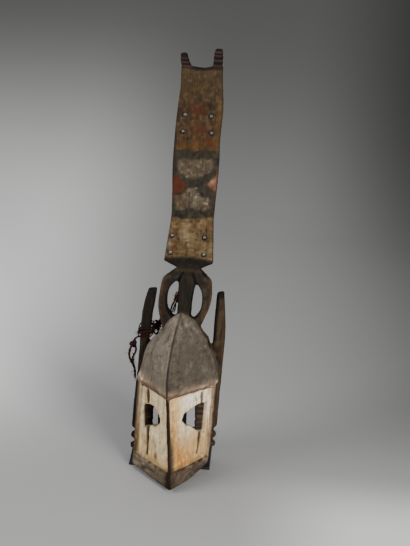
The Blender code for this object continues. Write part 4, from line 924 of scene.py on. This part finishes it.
layer = mesh.color_attributes.new("old_paint_light_and_shade", "FLOAT_COLOR", "POINT")
layer.data.foreach_set("color", np.concatenate([linear_paint, np.ones((count, 1))], 1).astype(np.float32).ravel())
chalk = mesh.attributes.new("chalk", "FLOAT", "POINT")
chalk.data.foreach_set("value", np.clip(panel + hourglass, 0, 1).astype(np.float32))
smooth_wood = mesh.attributes.new("matte", "FLOAT", "POINT")
smooth_wood.data.foreach_set("value", np.clip(hood + chin_paint + 0.45 * whitened, 0, 1).astype(np.float32))
for face in mesh.polygons:
    face.use_smooth = True

# Wood: the old paint with its painted light and shade, broken up by grain, pores, dust and fine cracks
wood = Paint("aged_painted_wood")
old = wood.attribute("old_paint_light_and_shade", colour=True)
chalky = wood.attribute("chalk")
grain = wood.noise(1.0, 5, 0.65, wood.stretched((420, 420, 26)), 0.4)
fibres = wood.noise(1.0, 3, 0.6, wood.stretched((1500, 1500, 90)))
speck = wood.noise(900, 2, 0.5)
blotch = wood.noise(70, 4, 0.6)
grained = wood.math("SUBTRACT", 1.0, wood.math("MULTIPLY", wood.attribute("matte"), 0.72))
colour = wood.blend(old, wood.blend(old, (0.30, 0.25, 0.20), 1.0, "MULTIPLY"), wood.math("MULTIPLY", wood.ramp(grain, 0.48, 0.70, 0.0, 0.72), grained))
granular = wood.noise(330, 3, 0.6)
colour = wood.blend(colour, wood.blend(old, (0.42, 0.38, 0.33), 1.0, "MULTIPLY"), wood.math("MULTIPLY", wood.ramp(granular, 0.52, 0.72, 0.0, 0.75), wood.attribute("matte")))
colour = wood.blend(colour, wood.blend(old, (1.9, 1.85, 1.75), 1.0, "MULTIPLY"), wood.ramp(fibres, 0.54, 0.76, 0.0, 0.42))
colour = wood.blend(colour, wood.blend(old, (0.45, 0.40, 0.34), 1.0, "MULTIPLY"), wood.ramp(speck, 0.58, 0.70, 0.0, 0.70))
colour = wood.blend(colour, wood.blend(old, (1.25, 1.2, 1.12), 1.0, "MULTIPLY"), wood.ramp(blotch, 0.50, 0.68, 0.0, 0.5))
rough = wood.ramp(blotch, 0.3, 0.7, 0.60, 0.82)
rough = wood.math("ADD", rough, wood.math("MULTIPLY", chalky, 0.14), clamp=True)
surface = wood.bump(grain, 0.55, 0.0012)
surface = wood.bump(fibres, 0.35, 0.0004, surface)
surface = wood.bump(speck, 0.30, 0.0005, surface)
mesh.materials.clear()
mesh.materials.append(wood.finish(colour, rough, surface, Specular_IOR_Level=0.12))
carving = link(bpy.data.objects.new("mask_carving", mesh))
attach(carving, "root")
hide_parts("mask")
print("carving triangles", sum(len(f.vertices) - 2 for f in mesh.polygons))

# ----------------------------------------------------------------------- stand
steel = Paint("black_stand_paint")
scuff = steel.noise(55, 5, 0.65)
dust = steel.noise(700, 2, 0.5)
scratch = steel.noise(1.0, 3, 0.6, steel.stretched((900, 60, 900), (0, 0.5, 0.2)))
colour = steel.blend(linear((26, 26, 27)), linear((40, 39, 38)), steel.ramp(scuff, 0.45, 0.70))
colour = steel.blend(colour, linear((92, 88, 82)), steel.ramp(dust, 0.64, 0.74, 0.0, 0.5))
colour = steel.blend(colour, linear((78, 76, 74)), steel.ramp(scratch, 0.68, 0.76, 0.0, 0.4))
stand_paint = steel.finish(colour, steel.ramp(scuff, 0.35, 0.7, 0.38, 0.58), steel.bump(dust, 0.2, 0.0003), Metallic=0.0, Specular_IOR_Level=0.5)
for name in ("stand_base", "stand_post"):
    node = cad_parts[name]
    node.data.materials.clear()
    node.data.materials.append(stand_paint)

# ------------------------------------------------------------- floor and light
form = bmesh.new()
profile = [(-6.0, 0.0)] + [(1.6 + 1.8 * math.sin(a), 1.8 - 1.8 * math.cos(a)) for a in (math.pi / 2 * i / 14 for i in range(15))] + [(3.4, 6.0)]
rows = [[form.verts.new((x, y, z - 0.0002)) for y, z in profile] for x in (-7.0, 7.0)]
for i in range(len(profile) - 1):
    form.faces.new((rows[0][i], rows[1][i], rows[1][i + 1], rows[0][i + 1]))
sweep = bpy.data.meshes.new("backdrop")
form.to_mesh(sweep)
form.free()
for face in sweep.polygons:
    face.use_smooth = True
floor_paint = Paint("pale_studio_floor")
split = floor_paint.nodes.new("ShaderNodeSeparateXYZ")
floor_paint.links.new(floor_paint.where, split.inputs[0])
cloud = floor_paint.noise(1.2, 2, 0.5)
grey = floor_paint.blend(linear((138, 138, 138)), linear((142, 142, 141)), cloud)
# painted shade: the floor darkens toward the right
painted_shade_right = floor_paint.math("MULTIPLY", floor_paint.ramp(split.outputs["X"], 0.12, 0.95), floor_paint.ramp(split.outputs["Y"], -0.35, 0.35))
grey = floor_paint.blend(grey, linear((82, 82, 81)), floor_paint.math("MULTIPLY", painted_shade_right, 1.0))
# painted light: a bright pool of light on the left
lit = floor_paint.math("MULTIPLY", floor_paint.ramp(split.outputs["X"], -0.10, -0.75), floor_paint.ramp(split.outputs["Y"], -0.3, 0.5))
grey = floor_paint.blend(grey, linear((220, 220, 219)), floor_paint.math("MULTIPLY", lit, 1.0))
# painted light: a brighter patch in front on the right
near = floor_paint.math("MULTIPLY", floor_paint.ramp(split.outputs["X"], 0.15, 0.50), floor_paint.ramp(split.outputs["Y"], -0.05, -0.30))
grey = floor_paint.blend(grey, linear((196, 196, 195)), floor_paint.math("MULTIPLY", near, 0.8))
# painted shade: darker toward the top of the sweep
grey = floor_paint.blend(grey, linear((84, 84, 82)), floor_paint.ramp(split.outputs["Y"], 1.5, 3.1))
# painted shade: darkest in the upper right corner
corner = floor_paint.math("MULTIPLY", floor_paint.ramp(split.outputs["X"], 0.2, 1.1), floor_paint.ramp(split.outputs["Y"], 1.0, 2.8))
grey = floor_paint.blend(grey, linear((26, 26, 25)), floor_paint.math("MULTIPLY", corner, 0.95))
sweep.materials.append(floor_paint.finish(grey, 0.85, floor_paint.bump(cloud, 0.05, 0.002), Specular_IOR_Level=0.2))
backdrop = link(bpy.data.objects.new("backdrop", sweep))


def lamp(name, where, target, size, power, colour=(1, 1, 1), size_y=None):
    data = bpy.data.lights.new(name, "AREA")
    data.shape = "RECTANGLE"
    data.size, data.size_y = size, size_y or size
    data.energy = power
    data.color = colour
    obj = link(bpy.data.objects.new(name, data))
    obj.location = where
    obj.rotation_euler = (Vector(target) - Vector(where)).to_track_quat("-Z", "Y").to_euler()
    return obj


lamp("key", (1.7, -2.3, 1.7), (0.02, -0.15, 0.20), 1.1, 122, (1.0, 0.985, 0.96))
lamp("fill", (-2.2, -1.4, 1.7), (0.0, -0.1, 0.35), 1.3, 78, (0.98, 0.985, 1.0))
lamp("overhead", (-0.3, 0.6, 3.2), (0.0, 0.3, 0.0), 2.0, 40, (1.0, 1.0, 1.0))
world = bpy.data.worlds.new("studio")
scene.world = world
world.use_nodes = True
world.node_tree.nodes["Background"].inputs["Color"].default_value = (0.80, 0.80, 0.81, 1.0)
world.node_tree.nodes["Background"].inputs["Strength"].default_value = 0.36

bpy.context.view_layer.update()
